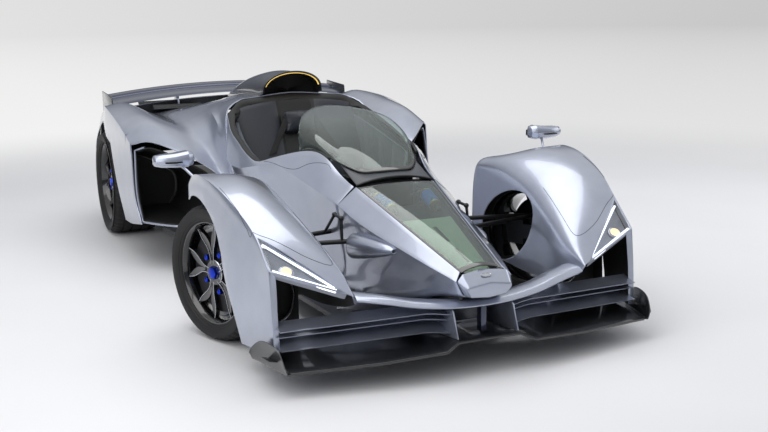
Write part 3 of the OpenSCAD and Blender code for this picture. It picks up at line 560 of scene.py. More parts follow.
def tube_points(path, radius, sides=12):
    """Rings of points round a path of table points; the radius may change along it."""
    rings = []
    normal = None
    for i, p in enumerate(path):
        ahead = path[min(i + 1, len(path) - 1)] - path[max(i - 1, 0)]
        ahead.normalize()
        if normal is None:
            normal = ahead.orthogonal().normalized()
        normal = (normal - normal.dot(ahead) * ahead).normalized()
        other = ahead.cross(normal)
        r = radius[i] if isinstance(radius, (list, tuple)) else radius
        rings.append([p + r * (math.cos(t) * normal + math.sin(t) * other)
                      for t in (2 * math.pi * k / sides for k in range(sides))])
    return rings


def rings_mesh(name, rings):
    """A closed mesh through rings of table points, capped at both ends."""
    n = len(rings[0])
    points = [at(*p) for ring in rings for p in ring]
    faces = [(i * n + j, i * n + (j + 1) % n, (i + 1) * n + (j + 1) % n, (i + 1) * n + j)
             for i in range(len(rings) - 1) for j in range(n)]
    faces += [tuple(range(n))[::-1], tuple(range((len(rings) - 1) * n, len(rings) * n))]
    mesh = mesh_of(name, points, faces)
    tidy_normals(mesh)
    return mesh


def tube(name, path, radius, finishes, sides=12, **ride):
    """A closed round bar along a path of table points."""
    obj = new_object(name, rings_mesh(name, tube_points([Vector(p) for p in path], radius, sides)),
                     finishes, **ride)
    soften(obj, 40)
    return obj


def joined(name, objects):
    """One object from several that share a body; the first keeps its place and facts."""
    with bpy.context.temp_override(active_object=objects[0], selected_objects=objects,
                                   selected_editable_objects=objects, object=objects[0]):
        bpy.ops.object.join()
    objects[0].name = name
    return objects[0]


# Body

arch_front = [(-560, 60), (-470, 290)]
for angle in range(160, 19, -5):
    arch_front.append((392 * math.cos(math.radians(angle)), FRONT_R + 376 * math.sin(math.radians(angle))))
arch_front += [(420, 300), (420, 60)]
almond = []
for angle in range(0, 360, 8):
    reach, rise = math.cos(math.radians(angle)), math.sin(math.radians(angle))
    almond.append((-130 + 285 * reach, 435 + 185 * rise - 70 * reach))
arch_rear = [(1890, 60), (2060, 300), (2330, 690)]
arch_rear += [round_point(WHEELBASE, REAR_ARCH_Z, 425, angle) for angle in range(125, -1, -5)]
arch_rear += [(WHEELBASE + 440, 200), (WHEELBASE + 470, 60)]

# Black linings round the rear tyres, and the walls inboard of them
for side_name, x in SIDES:
    liner = []
    for angle in range(15, 166, 6):
        y, z = round_point(WHEELBASE, REAR_ARCH_Z, 410, angle)
        tuck = max(0, math.cos(math.radians(angle))) * 45
        liner.append([Vector((x * (px - tuck), y, z)) for px in (700, 770, 840, 910, 975)])
    sheet(f"rear_arch_liner_{side_name}", liner, 4, black_moulding, edge=0)
    wall = []
    for angle in range(0, 181, 6):
        wall.append([Vector((x * 645, *round_point(WHEELBASE, REAR_ARCH_Z, r, angle)))
                     for r in (230, 290, 350, 405)])
    sheet(f"rear_arch_wall_{side_name}", wall, 4, black_moulding, out=(x, 0, 0), edge=0)

nose = loft([WINDOW_EDGE, NOSE_CREASE, NOSE_SIDE, NOSE_LOW, NOSE_KEEL], 30, sharp=(1,), whole=True)
sheet("nose_shell_skin", nose, SKIN, silver, out=(0, -0.2, -1), hides=["nose_shell"], slot="silver_paint")

panels = {}
side = loft([SIDE_FOOT, SIDE_LOW, SIDE_CREASE, RIM_LINE], 40, sharp=(2,))
for side_name, x in SIDES:
    grid = side if x > 0 else mirrored(side)
    panels[f"side_{side_name}"] = sheet(f"side_skin_{side_name}", grid, SKIN, silver, out=(x, 0, 0.3),
                                        hides=left_only(x, "side_skins"), slot="silver_paint")

clam = loft([CLAM_SILL, CLAM_SIDE, CLAM_CREASE, CLAM_CREST, CLAM_SHOULDER, CLAM_VALLEY, CLAM_INNER,
             CLAM_FLANK, CLAM_HOOP, CLAM_BROW, CLAM_SPINE, CLAM_CENTRE], 44, fine=4, sharp=(2, 7),
            whole=True)
rear_cut = cutter(arch_rear, -1100, 1100)
sheet("rear_clamshell", clam, SKIN, silver, out=(0, 0, 1), cuts=[rear_cut], lined=True, hides=["rear_clam"],
      slot="silver_paint")

# Corners of a headlight in its pod: outer upper, outer lower and inner
LAMP = [Vector((926, -652, 636)), Vector((916, -806, 512)), Vector((604, -908, 399))]
lamp_middle = sum(LAMP, Vector()) / 3
lamp_out = (LAMP[2] - LAMP[0]).cross(LAMP[1] - LAMP[0]).normalized()
if lamp_out.y > 0:
    lamp_out = -lamp_out


def lamp_point(x, b, c, height, grow=0.95):
    """A point of a lamp: b and c are the shares of its lower outer and inner corners."""
    p = LAMP[0] * (1 - b - c) + LAMP[1] * b + LAMP[2] * c
    p = lamp_middle + (p - lamp_middle) * grow + lamp_out * height
    return Vector((x * p.x, p.y, p.z))


def lamp_cutter(x):
    """What cuts the headlight's triangle out of a pod."""
    ends = [lamp_point(x, b, c, h, 0.97) for h in (60, -60) for b, c in ((0, 0), (1, 0), (0, 1))]
    mesh = mesh_of("lamp_cutter", [at(*p) for p in ends],
                   [(0, 1, 2), (5, 4, 3), (0, 3, 4, 1), (1, 4, 5, 2), (2, 5, 3, 0)])
    tidy_normals(mesh)
    return tool(mesh)


pod = loft([POD_FOOT, POD_FLANK, POD_CREASE, POD_TOP, POD_SHOULDER, POD_INNER, POD_INNER_LOW,
            POD_INNER_FOOT], 36, fine=6, sharp=(2,))
pod_cuts = {1: [cutter(arch_front, 880, 1100), cutter(almond, 500, 720), lamp_cutter(1)],
            -1: [cutter(arch_front, -1100, -880), cutter(almond, -720, -500), lamp_cutter(-1)]}
# Leading edge of a pod up to its headlight, and along below it, with the flange's reach inward
POD_EDGE = [Vector((920, -838, 142)), Vector((921, -832, 240)), Vector((922, -824, 340)),
            Vector((919, -815, 430)), Vector((916, -806, 508)), LAMP[1].lerp(LAMP[2], 0.04)]
POD_EDGE += [LAMP[1].lerp(LAMP[2], t) for t in (0.2, 0.4, 0.6, 0.8, 0.97)]
POD_REACH = [Vector((-28, 4, 0))] * 4 + [Vector((-24, 4, -12)), Vector((-12, 5, -20))]
POD_REACH += [Vector((0, 5, -18 + 12 * t)) for t in (0.2, 0.4, 0.6, 0.8, 1)]
# Section (y, z) of the black lining round the front of the tyre
FRONT_LINER = [(-430, 150), (-428, 240)] + [round_point(-8, FRONT_R, 415, 180 - a) for a in range(0, 56, 5)]
for side_name, x in SIDES:
    grid = pod if x > 0 else mirrored(pod)
    panels[f"pod_{side_name}"] = sheet(f"front_pod_{side_name}", grid, SKIN, silver, out=(0, 0, 1),
                                       cuts=pod_cuts[x], lined=True, hides=left_only(x, "front_pods"),
                                       slot="silver_paint")
    flange = [flip((p, p + 0.5 * reach, p + reach), x) for p, reach in zip(POD_EDGE, POD_REACH)]
    sheet(f"pod_flange_{side_name}", flange, 5, silver, out=(0, -1, 0.2), edge=1.5, slot="silver_paint")
    liner = [[Vector((x * px, y - ahead, z)) for y, z in FRONT_LINER]
             for px, ahead in ((664, 0), (740, 0), (820, 0), (900, 0), (956, 8), (966, 70))]
    sheet(f"arch_liner_{side_name}", liner, 4, black_moulding, out=(0, -1, 0.3), edge=0)
    # The oval duct mouth below the headlight, with a bright edge
    oval = [Vector((x * (775 + 78 * math.cos(a)), -452, 300 + 118 * math.sin(a)))
            for a in (2 * math.pi * k / 40 for k in range(42))]
    tube(f"duct_mouth_{side_name}", oval, 9, black_gloss, 12)
    tube(f"duct_mouth_edge_{side_name}", [p + Vector((0, -9, 0)) for p in oval], 2.5, machined, 8)
drop([rear_cut] + pod_cuts[1] + pod_cuts[-1])


def shut_line(name, panel, route):
    """A dark gap along a route of (x, y) over a panel, dropped on it from above."""
    graph = bpy.context.evaluated_depsgraph_get()
    top = panel.evaluated_get(graph)
    path = []
    for p in across_row([Vector((x, y, 0)) for x, y in route], 8, ()):
        hit, where, _, _ = top.ray_cast(at(p.x, p.y, 1500), Vector((0, 0, -1)))
        if hit:
            path.append(where / MM + Vector((0, MIDDLE_Y, 0.2)))
    if len(path) > 2:
        tube(name, path, GAP / 2, seal_rubber, 6)


POD_PANEL = [(978, -290), (973, -345), (966, -430), (957, -504), (944, -580), (930, -632), (868, -674),
             (761, -748), (680, -779), (640, -782), (622, -770), (618, -735), (632, -637), (650, -520),
             (668, -400)]
NOSE_JOINT = [(266, 150), (270, 183), (299, 254), (332, 317), (382, 384), (423, 481), (456, 593),
              (470, 640)]
for side_name, x in SIDES:
    shut_line(f"pod_panel_gap_{side_name}", panels[f"pod_{side_name}"],
              [(x * a, b) for a, b in POD_PANEL])
    shut_line(f"nose_joint_gap_{side_name}", panels[f"side_{side_name}"],
              [(x * a, b) for a, b in NOSE_JOINT])

# Windscreen and nose window, each with a black printed band along its edge
screen = []
for v in range(25):
    half = []
    for k in range(8):
        base, edge = Vector(SCREEN_BASE[k]), Vector(SCREEN_EDGE[k])
        swell = math.sin(math.pi * v / 24)
        p = base.lerp(edge, v / 24)
        lift = 34 * swell * (1 - k / 7)
        half.append(Vector((p.x + 10 * swell * k / 7, p.y - 0.3 * lift, p.z + lift)))
    row = list(reversed(half)) + flip(half[1:], -1)
    screen.append(across_row(row, 5, ()))
sheet("windscreen_glass", screen, 4, [screen_glass, black_gloss], out=(0, -0.5, 1), edge=0.8,
      marks=lambda i, j: int(i < 1 or j < 1 or j > 68), hides=["windscreen"], slot="screen_glass")
sheet("windscreen_seal", [[p + Vector((0, -3, 2)) for p in screen[0]],
                          [p + Vector((0, 6, 7)) for p in screen[0]]], 6, seal_rubber, edge=2)

window = []
for i in range(31):
    p = along(WINDOW_EDGE, -975 + 902 * i / 30)
    half_width = p.x - 8
    window.append([Vector((u * half_width / 14, p.y, p.z - 4 + 22 * (1 - (u / 14) ** 2)))
                   for u in range(-14, 15)])
sheet("nose_window_glass", window, 4, [screen_glass, black_gloss], edge=0.8,
      marks=lambda i, j: int(i < 1 or i > 28 or j < 1 or j > 26), hides=["nose_window"],
      slot="screen_glass")

# Nose tip: a slanted top plate with a bare oval dish, over a flat front
cap_rings = []
for t in (0, 0.33, 0.66, 1):
    upper = [Vector((0, -1059, 418)).lerp(Vector((0, -976, 462)), t),
             Vector((104, -1059, 402)).lerp(Vector((108, -1001, 455)), t),
             Vector((110, -1057, 384)).lerp(Vector((137, -1001, 421)), t),
             Vector((88, -1050, 352)).lerp(Vector((97, -1001, 349)), t)]
    keel = Vector((0, -1048, 343)).lerp(Vector((0, -1001, 339)), t)
    cap_rings.append(upper + [keel] + flip(reversed(upper[1:]), -1))
cap = new_object("nose_tip", rings_mesh("nose_tip", cap_rings), silver, hides=["nose_cap"],
                 slot="silver_paint")
round_off(cap, 7, 25, 3)
bake(cap)
badge_slope = Vector((0, 83, 44)).normalized()
badge = []
for k in range(40):
    a = 2 * math.pi * k / 40
    badge.append(Vector((26 * math.cos(a), -1020, 441)) + badge_slope * 13 * math.sin(a))
lift = Vector((0, -44, 83)).normalized()
badge_rings = [[p + lift * h for p in badge] for h in (-2, 2.5)]
middle = sum(badge, Vector()) / 40
badge_rings.append([middle + (p - middle) * 0.86 + lift * 2.5 for p in badge])
badge_rings.append([middle + (p - middle) * 0.8 + lift * 1.2 for p in badge])
soften(new_object("nose_badge_place", rings_mesh("nose_badge_place", badge_rings), machined))

# Under the nose window: a dark tray, a pale plate with two slots, and the coil units
tray = []
for i in range(13):
    p = along(WINDOW_EDGE, -965 + 885 * i / 12)
    tray.append([Vector((u * (p.x - 22), p.y, p.z - 24 - (34 + 60 * i / 12) * (1 - abs(u) ** 6)))
                 for u in (-1, -0.97, -0.9, -0.6, -0.3, 0, 0.3, 0.6, 0.9, 0.97, 1)])
sheet("nose_tray", tray, 5, grey_moulding, edge=2, hides=["damper_bay"], slot="tub_lining")
plate = []
for i in range(25):
    p = along(WINDOW_EDGE, -945 + 520 * i / 24)
    plate.append([Vector((u / 12 * (p.x - 46), p.y, p.z - 26)) for u in range(-12, 13)])
sheet("nose_cover_plate", plate, 4, [plate_green, black_satin], edge=1,
      marks=lambda i, j: int(j in (11, 12) and (4 <= i <= 9 or 13 <= i <= 19)))
for side_name, x in SIDES:
    rear, front = Vector((x * 138, -105, 652)), Vector((x * 112, -335, 598))
    axis = (front - rear).normalized()
    coil = []
    spin = axis.orthogonal().normalized()
    for k in range(6 * 16 + 1):
        a = 2 * math.pi * k / 16
        ring = spin * math.cos(a) + axis.cross(spin) * math.sin(a)
        coil.append(rear + axis * (42 + 128 * k / 96) + ring * 28)
    parts = [tube(f"coil_{side_name}", coil, 5.6, blue_coil, 8),
             tube(f"damper_{side_name}", [rear + axis * d for d in (0, 30, 32, 190, 192, 236)],
                  [9, 9, 13, 13, 10, 10], black_satin, 20),
             tube(f"perch_{side_name}", [rear + axis * d for d in (30, 33, 40, 42)], [22, 31, 31, 20],
                  gold_anodised, 24),
             tube(f"collar_{side_name}", [rear + axis * d for d in (171, 174, 188, 192)], [20, 31, 31, 18],
                  gold_anodised, 24),
             tube(f"rocker_{side_name}",
                  [rear + Vector((x * 30, 20, 0)), rear, rear + Vector((-x * 60, 30, -20))],
                  [9, 12, 8], grey_moulding, 16)]
    joined(f"coil_unit_{side_name}", parts)
    if x > 0:
        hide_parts("front_dampers")

# Scuttle between the nose window and the windscreen
scuttle_rows = []
screen_foot = across_row([Vector(p) for p in SCREEN_BASE[:5]], 4, ())
for t in shares(8):
    half = []
    for k, foot in enumerate(screen_foot):
        share = k / 16
        front = Vector((share * 208, -68 + 12 * share, 738 - 32 * share ** 2))
        half.append(front.lerp(Vector((min(foot.x, 212), foot.y - 3, foot.z - 6)), t))
    scuttle_rows.append(flip(reversed(half[1:]), -1) + half)
sheet("scuttle_panel", scuttle_rows, 8, grey_moulding, edge=1.5, hides=["scuttle"], slot="carbon")
sheet("scuttle_seal", [[p + Vector((0, -7, 1)) for p in scuttle_rows[0]],
                       [p + Vector((0, 6, 4)) for p in scuttle_rows[0]]], 6, seal_rubber, edge=2)

# Rim round the cockpit, a carbon part drawn in black moulding
rim_path = [along(RIM_LINE, 213 + (1397.6 - 213) * k / 44) + Vector((-2, 0, 0.5)) for k in range(45)]
hoop = [Vector((x, y - 14, z - 2)) for y, x, z in HOOP_LINE[1:]]
hoop_row = across_row([rim_path[-1]] + hoop, 6, ())[1:]
half_path = rim_path + hoop_row
rails = []
for k, p in enumerate(half_path):
    width = 20 + 14 * min(1, max(0, (p.y - 430) / 120)) + 14 * min(1, max(0, (p.y - 1250) / 120))
    t = max(0, min(1, (len(half_path) - 1 - k) / 30))
    drop_z = 1 if p.y < 1400 else 1 - 31 * min(1, (p.y - 1400) / 40)
    inward = Vector((-width * t, -width * (1 - t), drop_z))
    rails.append([p, p + inward * 0.5 + Vector((0, 0, 4)), p + inward, p + inward - Vector((0, 0, 15)),
                  p - Vector((0, 0, 15))])
full = rails + mirrored(reversed(rails[:-1]))
rim_object = new_object("cockpit_rim_carbon", rings_mesh("cockpit_rim_carbon", full), black_moulding,
                        hides=["cockpit_rim"], slot="carbon")
round_off(rim_object, 3, 40)
bake(rim_object, 40)

# Engine intake over the roll hoop, with its amber light and filter
def hood(t, grow):
    """One arch of the intake's hood, t along its length, larger by grow."""
    y = 1450 + 1350 * t
    w, h = along(SCOOP_LINE, y)[0] + grow, along(SCOOP_LINE, y)[2] + grow
    z = along(SCOOP_BASE, y)[2] + 1
    arch = []
    for k in range(37):
        a = math.pi * k / 36
        lean = 40 * (1 - t) * (1 - math.sin(a))
        arch.append(Vector((w * math.cos(a), y + lean, z + h * max(math.sin(a), 0) ** 0.8)))
    return arch


sheet("intake_scoop", [hood(t, 0) for t in shares(24)], 11, carbon, out=(0, -0.1, 1), edge=3,
      hides=["scoop"], slot="carbon")
light_rows = [[p + Vector((0, deep, 0)) for p in hood(0, -13.5)[3:34]] for deep in (6, 24)]
sheet("scoop_light", light_rows, 3, amber_light, edge=1, hides=["scoop_lamp"], slot="lamp_amber")
filter_rows = []
for i in range(9):
    filter_rows.append([Vector((p.x * i / 8, p.y + 90 - 30 * i / 8, 1040 + (p.z - 1040) * i / 8))
                        for p in hood(0.04, -16)])
sheet("scoop_filter", filter_rows, 3, radiator, out=(0, -1, 0), edge=0)

# Side intakes: black ducts with a rubber-edged mouth and a radiator at the back
MOUTH = [(962, 1548, 305), (974, 1590, 460), (968, 1640, 716), (890, 1512, 745), (735, 1312, 672),
         (624, 1262, 600), (590, 1215, 520), (600, 1210, 400), (660, 1235, 305), (820, 1370, 302)]


def duct_loop(t, inside):
    """A loop round the left duct, t from its mouth to its radiator, moved inward by inside."""
    start, end = Vector((800, 1420, 510)), Vector((820, 2000, 470))
    loop = []
    for p in closed_row([Vector(q) for q in MOUTH], 5, (0, 2, 8)):
        d = p - start
        flat = Vector((d.x, 0, d.z))
        loop.append(start.lerp(end, t) + Vector((d.x, d.y * (1 - t), d.z)) * (1 - 0.28 * t)
                    - inside * flat / max(flat.length, 1))
    return loop


for side_name, x in SIDES:
    loops = []
    for t in shares(12):
        loop = duct_loop(t, 1)
        loops.append(flip(loop + loop[:1], x))
    sheet(f"side_duct_{side_name}", loops, 3, radiator, out=(0, 0, 1), edge=0,
          hides=left_only(x, "intake_ducts"), slot="carbon")
    core = [[Vector((x * q.x, q.y - 30, q.z)) for q in duct_loop(0.96, 8)]]
    centre = sum(core[0], Vector()) / len(core[0])
    core += [[centre.lerp(p, s) for p in core[0]] for s in (0.66, 0.33, 0.02)]
    core = [row + row[:1] for row in core]
    sheet(f"side_radiator_{side_name}", core, 3, radiator, out=(0, -1, 0), edge=0)
    gasket = [Vector((x * p.x, p.y + 4, p.z)) for p in duct_loop(0, -3)]
    tube(f"side_gasket_{side_name}", gasket + gasket[:2], 5, seal_rubber, 8)
    lip = flip(duct_loop(0, -13), x)
    tube(f"side_intake_lip_{side_name}", lip[36:] + lip[:14], 7, silver, 12, slot="silver_paint")

# Tail: a carbon panel with a mesh window, its lamps, and the diffuser with its strakes
def tail_point(x, share, back=0):
    """A point of the tail's face, share of the way up it and back behind it."""
    return Vector((x, 3452 - 110 + 75 * share - 60 * (x / 860) ** 2 + back, 470 + 245 * share))


tail_grid = [[tail_point(x, share) for x in range(-860, 861, 43)] for share in shares(12)]
sheet("tail_panel", tail_grid, 16, [satin_carbon, radiator], out=(0, 1, 0), edge=2, hides=["tail"],
      marks=lambda i, j: int(2 <= i <= 8 and (4 <= j <= 16 or 23 <= j <= 35)), slot="carbon")
for side_name, x in SIDES:
    bar_grid = [[tail_point(x * q, 0.775 + 0.098 * i / 3, 4 + 5 * math.sin(math.pi * i / 3))
                 for q in range(430, 831, 20)] for i in range(4)]
    sheet(f"tail_light_{side_name}", bar_grid, 8, red_lens, out=(0, 1, 0), edge=1,
          hides=left_only(x, "tail_lamps"), slot="lamp_red")
ramp_grid = [[Vector((x, 3051 + 396 * i / 10, 125 + 205 * i / 10)) for x in range(-560, 561, 56)]
             for i in range(11)]
sheet("diffuser_ramp", ramp_grid, 10, carbon, edge=2, hides=["diffuser"], slot="carbon")
for x in (-500, -300, -100, 100, 300, 500):
    prism(f"diffuser_strake_{x + 500}", [(3060, 104), (3440, 200), (3448, 318), (3070, 130)], x - 3, x + 3,
          carbon, 1, slot="carbon")


# Rear wing: a main blade and a flap between end plates, on two struts
def blade(name, chord, rise, shift, thick, made, **ride):
    """A wing blade with a rounded nose, drooping towards its ends."""
    rings = []
    for k in range(37):
        x = -877 + 1754 * k / 36
        upper = []
        lower = []
        for c in (0, 0.02, 0.06, 0.14, 0.26, 0.42, 0.6, 0.8, 1):
            crown = 14 * math.sin(math.pi * min(1, c ** 0.6))
            p = Vector((x, 2850 + chord * c, 942 - 62 * (x / 880) ** 2 + rise * c + crown)) + Vector(shift)
            upper.append(p)
            lower.append(p - Vector((0, 0, 1 + (thick - 1) * math.sin(math.pi * min(1, c ** 0.55)) ** 0.7)))
        rings.append(upper + list(reversed(lower)))
    obj = new_object(name, rings_mesh(name, rings), made, **ride)
    soften(obj, 40)
    return obj


blade("rear_wing_blade", 250, 30, (0, 0, 0), 9, steel_blue, hides=["rear_wing"], slot="silver_paint")
blade("rear_wing_flap", 110, 24, (0, 235, 30), 8, steel_blue, slot="silver_paint")
LOUVRES = 9
for side_name, x in SIDES:
    for k in range(LOUVRES):
        y = 2780 + 66 * k
        lift = 862 - 34 * min(1, k / 4) + 14 * max(0, (k - 5) / 3)
        slat = []
        for i in range(4):
            rise = lift - 10 + 26 * (i / 3) ** 1.4
            slat.append([Vector((x * (250 + 350 * j / 8), y + 46 * i / 3, rise)) for j in range(9)])
        sheet(f"deck_louvre_{k + 1}_{side_name}", slat, 3, black_satin, edge=1)
# The deck's raised rear lip, a dark wall with a bright edge
lip_line = [Vector((x, 2902 - 18 * (x / 835) ** 2, 914 - 62 * (x / 880) ** 2))
            for x in range(-835, 836, 67)]
lip_wall = []
for t in (0, 0.25, 0.5, 0.75, 1):
    lip_wall.append([p + Vector((0, 10 * t, -(p.z - 800) * t * min(1, 3 * (1 - abs(p.x) / 880))))
                     for p in lip_line])
sheet("deck_lip_wall", lip_wall, 4, black_satin, out=(0, -1, 0), edge=1)
tube("deck_lip_edge", lip_line, 3, silver, 10)
wing_plate = [(2840, 875.4), (2842, 938), (2850, 950), (3210, 962), (3210, 791.4), (3100, 819.6),
              (3010, 838.6), (2950, 851.7), (2900, 862.3), (2860, 870.6)]
wing_strut = [(2860, 843), (2880, 931), (2980, 943), (3010, 821.6), (2950, 831.2), (2900, 838.6)]
for side_name, x in SIDES:
    prism(f"wing_end_plate_{side_name}", wing_plate, min(x * 878.3, x * 886.3), max(x * 878.3, x * 886.3),
          carbon, 2, hides=left_only(x, "wing_mounts"), slot="carbon")
    prism(f"wing_strut_{side_name}", wing_strut, min(x * 394, x * 406), max(x * 394, x * 406), silver, 3,
          slot="silver_paint")

# Front wing between the pods
WING_SPAN = [(0, -1006, 302, 318, 226), (145, -1000, 306, 322, 226), (300, -980, 322, 340, 230),
             (430, -950, 346, 366, 240), (541, -918, 372, 386, 252)]
WING_TIP = [570, 566, 549, 534, 534]
stations = []
for k, (x, y, lip, crest, trough) in enumerate(WING_SPAN):
    xs = WING_TIP if k == 4 else [x] * 5
    stations.append([Vector((xs[0], y, lip)), Vector((xs[1], y + 40, crest)),
                     Vector((xs[2], y + 130, crest - 8)),
                     Vector((xs[3], y + 240, crest * 0.4 + trough * 0.6)),
                     Vector((xs[4], y + 340, trough))])
span = mirrored(reversed(stations[1:])) + stations
columns = [across_row([s[c] for s in span], 8, ()) for c in range(5)]
wing_grid = [across_row([column[k] for column in columns], 6, ()) for k in range(len(columns[0]))]
sheet("front_wing_skin", wing_grid, 11, silver, edge=4, hides=["front_wing"], slot="silver_paint")

# Three vanes on each side below it
for n, (y0, z0, chord) in enumerate([(-955, 282, 90), (-935, 252, 110), (-965, 200, 120)]):
    for side_name, x in SIDES:
        rings = []
        for k in range(21):
            px = 154.5 + (899.8 - 154.5) * k / 20
            rise = (px - 250) * (-0.15 if px < 250 else 0.03)
            upper = []
            lower = []
            for c in (0, 0.03, 0.1, 0.25, 0.5, 0.75, 1):
                p = Vector((x * px, y0 + (px - 250) * 0.13 + chord * c, z0 + 22 * c ** 1.5 - rise))
                upper.append(p)
                lower.append(p - Vector((0, 0, 1.5 + 6.5 * math.sin(math.pi * c ** 0.5) ** 0.8)))
            rings.append(upper + list(reversed(lower)))
        vane = new_object(f"vane_{n + 1}_{side_name}", rings_mesh("vane", rings), silver,
                          hides=left_only(x, "vanes") if n == 0 else (), slot="silver_paint")
        soften(vane, 45)

fin_outline = [(-1045, 173.3), (-1000, 285), (-985, 296.5), (-960, 308.5), (-900, 302.5), (-840, 284.5),
               (-780, 257), (-720, 233), (-680, 217.5), (-660, 128)]
pylon_outline = [(-960, 321.9), (-900, 316.8), (-868, 315.7), (-850, 311), (-850, 316.5), (-900, 327.6),
                 (-960, 339)]
for side_name, x in SIDES:
    prism(f"centre_fin_{side_name}", fin_outline, min(x * 146, x * 154), max(x * 146, x * 154), silver, 3,
          hides=left_only(x, "centre_fins"), slot="silver_paint")
    prism(f"nose_pylon_{side_name}", pylon_outline, min(x * 86, x * 94), max(x * 86, x * 94), grey_moulding,
          1, slot="silver_paint")
prism("centre_bar", [(-1000, 180), (-1000, 300), (-960, 304), (-960, 178)], -14, 14, steel_blue, 4)

# Splitter with its winglets
SPLITTER = [(0, -1060, 176), (156, -1060, 174), (221, -1085, 146), (500, -1045, 128), (800, -985, 118),
            (900, -960, 112)]
splitter_grid = []
for t in shares(12):
    half = []
    for k in range(5):
        a, b = Vector(SPLITTER[k]), Vector(SPLITTER[k + 1])
        half += [a.lerp(b, j / 6) for j in range(6)]
    half.append(Vector(SPLITTER[5]))
    fall = min(1, max(0, t / 0.9))
    half = [Vector((p.x, p.y + (-642 - p.y) * t, p.z + (125 - p.z) * fall - 5 * (1 - t) ** 8))
            for p in half]
    splitter_grid.append(flip(reversed(half[1:]), -1) + half)
sheet("splitter_blade", splitter_grid, 13, carbon, edge=4, hides=["splitter"], slot="carbon")
WINGLET = [(906, -972, 103, 36), (916, -930, 103, 96), (932, -860, 104, 112), (950, -780, 105, 104),
           (966, -715, 105, 62), (972, -690, 105, 30)]
for side_name, x in SIDES:
    rows = []
    for foot, y, z, tall in WINGLET:
        section = ((893, 1), (903, 0), (foot + 3, 0), (foot + 8, 0.35 * tall), (foot + 12, 0.7 * tall),
                   (foot + 18, tall))
        rows.append([Vector((x * q, y, z + h)) for q, h in section])
    smooth = [across_row([row[c] for row in rows], 5, ()) for c in range(6)]
    grid = [across_row([c[k] for c in smooth], 3, (2,)) for k in range(len(smooth[0]))]
    sheet(f"splitter_winglet_{side_name}", grid, 5, carbon, out=(x, 0, 0.5), edge=1.5, slot="carbon")
    flap = [[Vector((x * (px + q), py, 150 + 0.2 * q)) for q in (0, 8, 17, 26, 34)]
            for px, py in ((930, -905), (937, -870), (944, -835))]
    sheet(f"winglet_flap_{side_name}", flap, 5, carbon, edge=1.5, slot="carbon")

# Fairings over the upper wishbones' front joints
FAIRING = [(-228, 300, 440, 40, 60), (-330, 294, 452, 42, 52), (-450, 276, 466, 34, 36),
           (-530, 252, 474, 22, 22), (-566, 238, 476, 8, 8)]
for side_name, x in SIDES:
    loops = [[Vector((x * (cx + w * math.cos(a)), y, cz + h * math.sin(a)))
              for a in (2 * math.pi * k / 40 for k in range(41))] for y, cx, cz, w, h in FAIRING]
    lengthwise = [across_row([loop[k] for loop in loops], 6, ()) for k in range(41)]
    grid = [[line[i] for line in lengthwise] for i in range(len(lengthwise[0]))]
    sheet(f"arm_fairing_{side_name}", grid, 4, [silver, black_satin], out=(x, 0, 0.2), edge=1,
          slot="silver_paint")


# Headlights: a clear triangular lens over a grey bowl with two light bars and a projector
def lamp_grid(x, height, grow, dome=0.0):
    """A triangular face of a headlight at a height over its corners, domed in its middle."""
    grid = []
    for c in shares(16):
        grid.append([lamp_point(x, b * (1 - c), c * 0.999,
                                height + dome * 16 * b * (1 - b) * min(1, 3 * c * (1 - c)), grow)
                     for b in shares(12)])
    return grid


for side_name, x in SIDES:
    face = tuple(flip([lamp_out], x)[0])
    sheet(f"headlight_lens_{side_name}", lamp_grid(x, 1, 0.955, 0.4), 3, lamp_glass, out=face, edge=0.6,
          hides=left_only(x, "headlights"), slot="lamp_glass")
    sheet(f"headlight_bowl_{side_name}", lamp_grid(x, -34, 0.9), 3, lamp_grey, out=face, edge=0)
    rim_loop = [lamp_point(x, b, c, -1, 0.965) for b, c in
                [(k / 10, 0) for k in range(10)] + [(1 - k / 20, k / 20) for k in range(20)]
                + [(0, 1 - k / 20) for k in range(20)]]
    wall = [[q - Vector(face) * d for q in rim_loop + rim_loop[:1]] for d in (0, 12, 24, 34)]
    sheet(f"headlight_wall_{side_name}", wall, 2, lamp_grey, out=face, edge=0)
    tube(f"headlight_bezel_{side_name}", rim_loop + rim_loop[:2], 3.4, silver, 8)
    upper_bar = [lamp_point(x, 0.10 * (1 - t), 0.04 + 0.84 * t, -10) for t in shares(20)]
    lower_bar = [lamp_point(x, 0.94 - 0.84 * t, 0.02 + 0.86 * t, -8) for t in shares(20)]
    tube(f"light_bar_upper_{side_name}", upper_bar, 5.5, white_light, 10, slot="lamp_glass")
    tube(f"light_bar_lower_{side_name}", lower_bar, 9, white_light, 10, slot="lamp_glass")
    centre = lamp_point(x, 0.5, 0.26, -20)
    eye = [centre + Vector(face) * d for d in (-12, -2, 4, 10, 13)]
    tube(f"projector_{side_name}", eye, [27, 27, 24, 15, 3], warm_light, 28, slot="lamp_glass")
    tube(f"projector_ring_{side_name}", [centre + Vector(face) * d for d in (-13, 0, 3)], [34, 34, 30],
         machined, 28)

# Mirrors: faceted wedges with a dark slot and a glass, each on a thin stalk from its pod
MIRROR = Vector((1060, 212, 861))
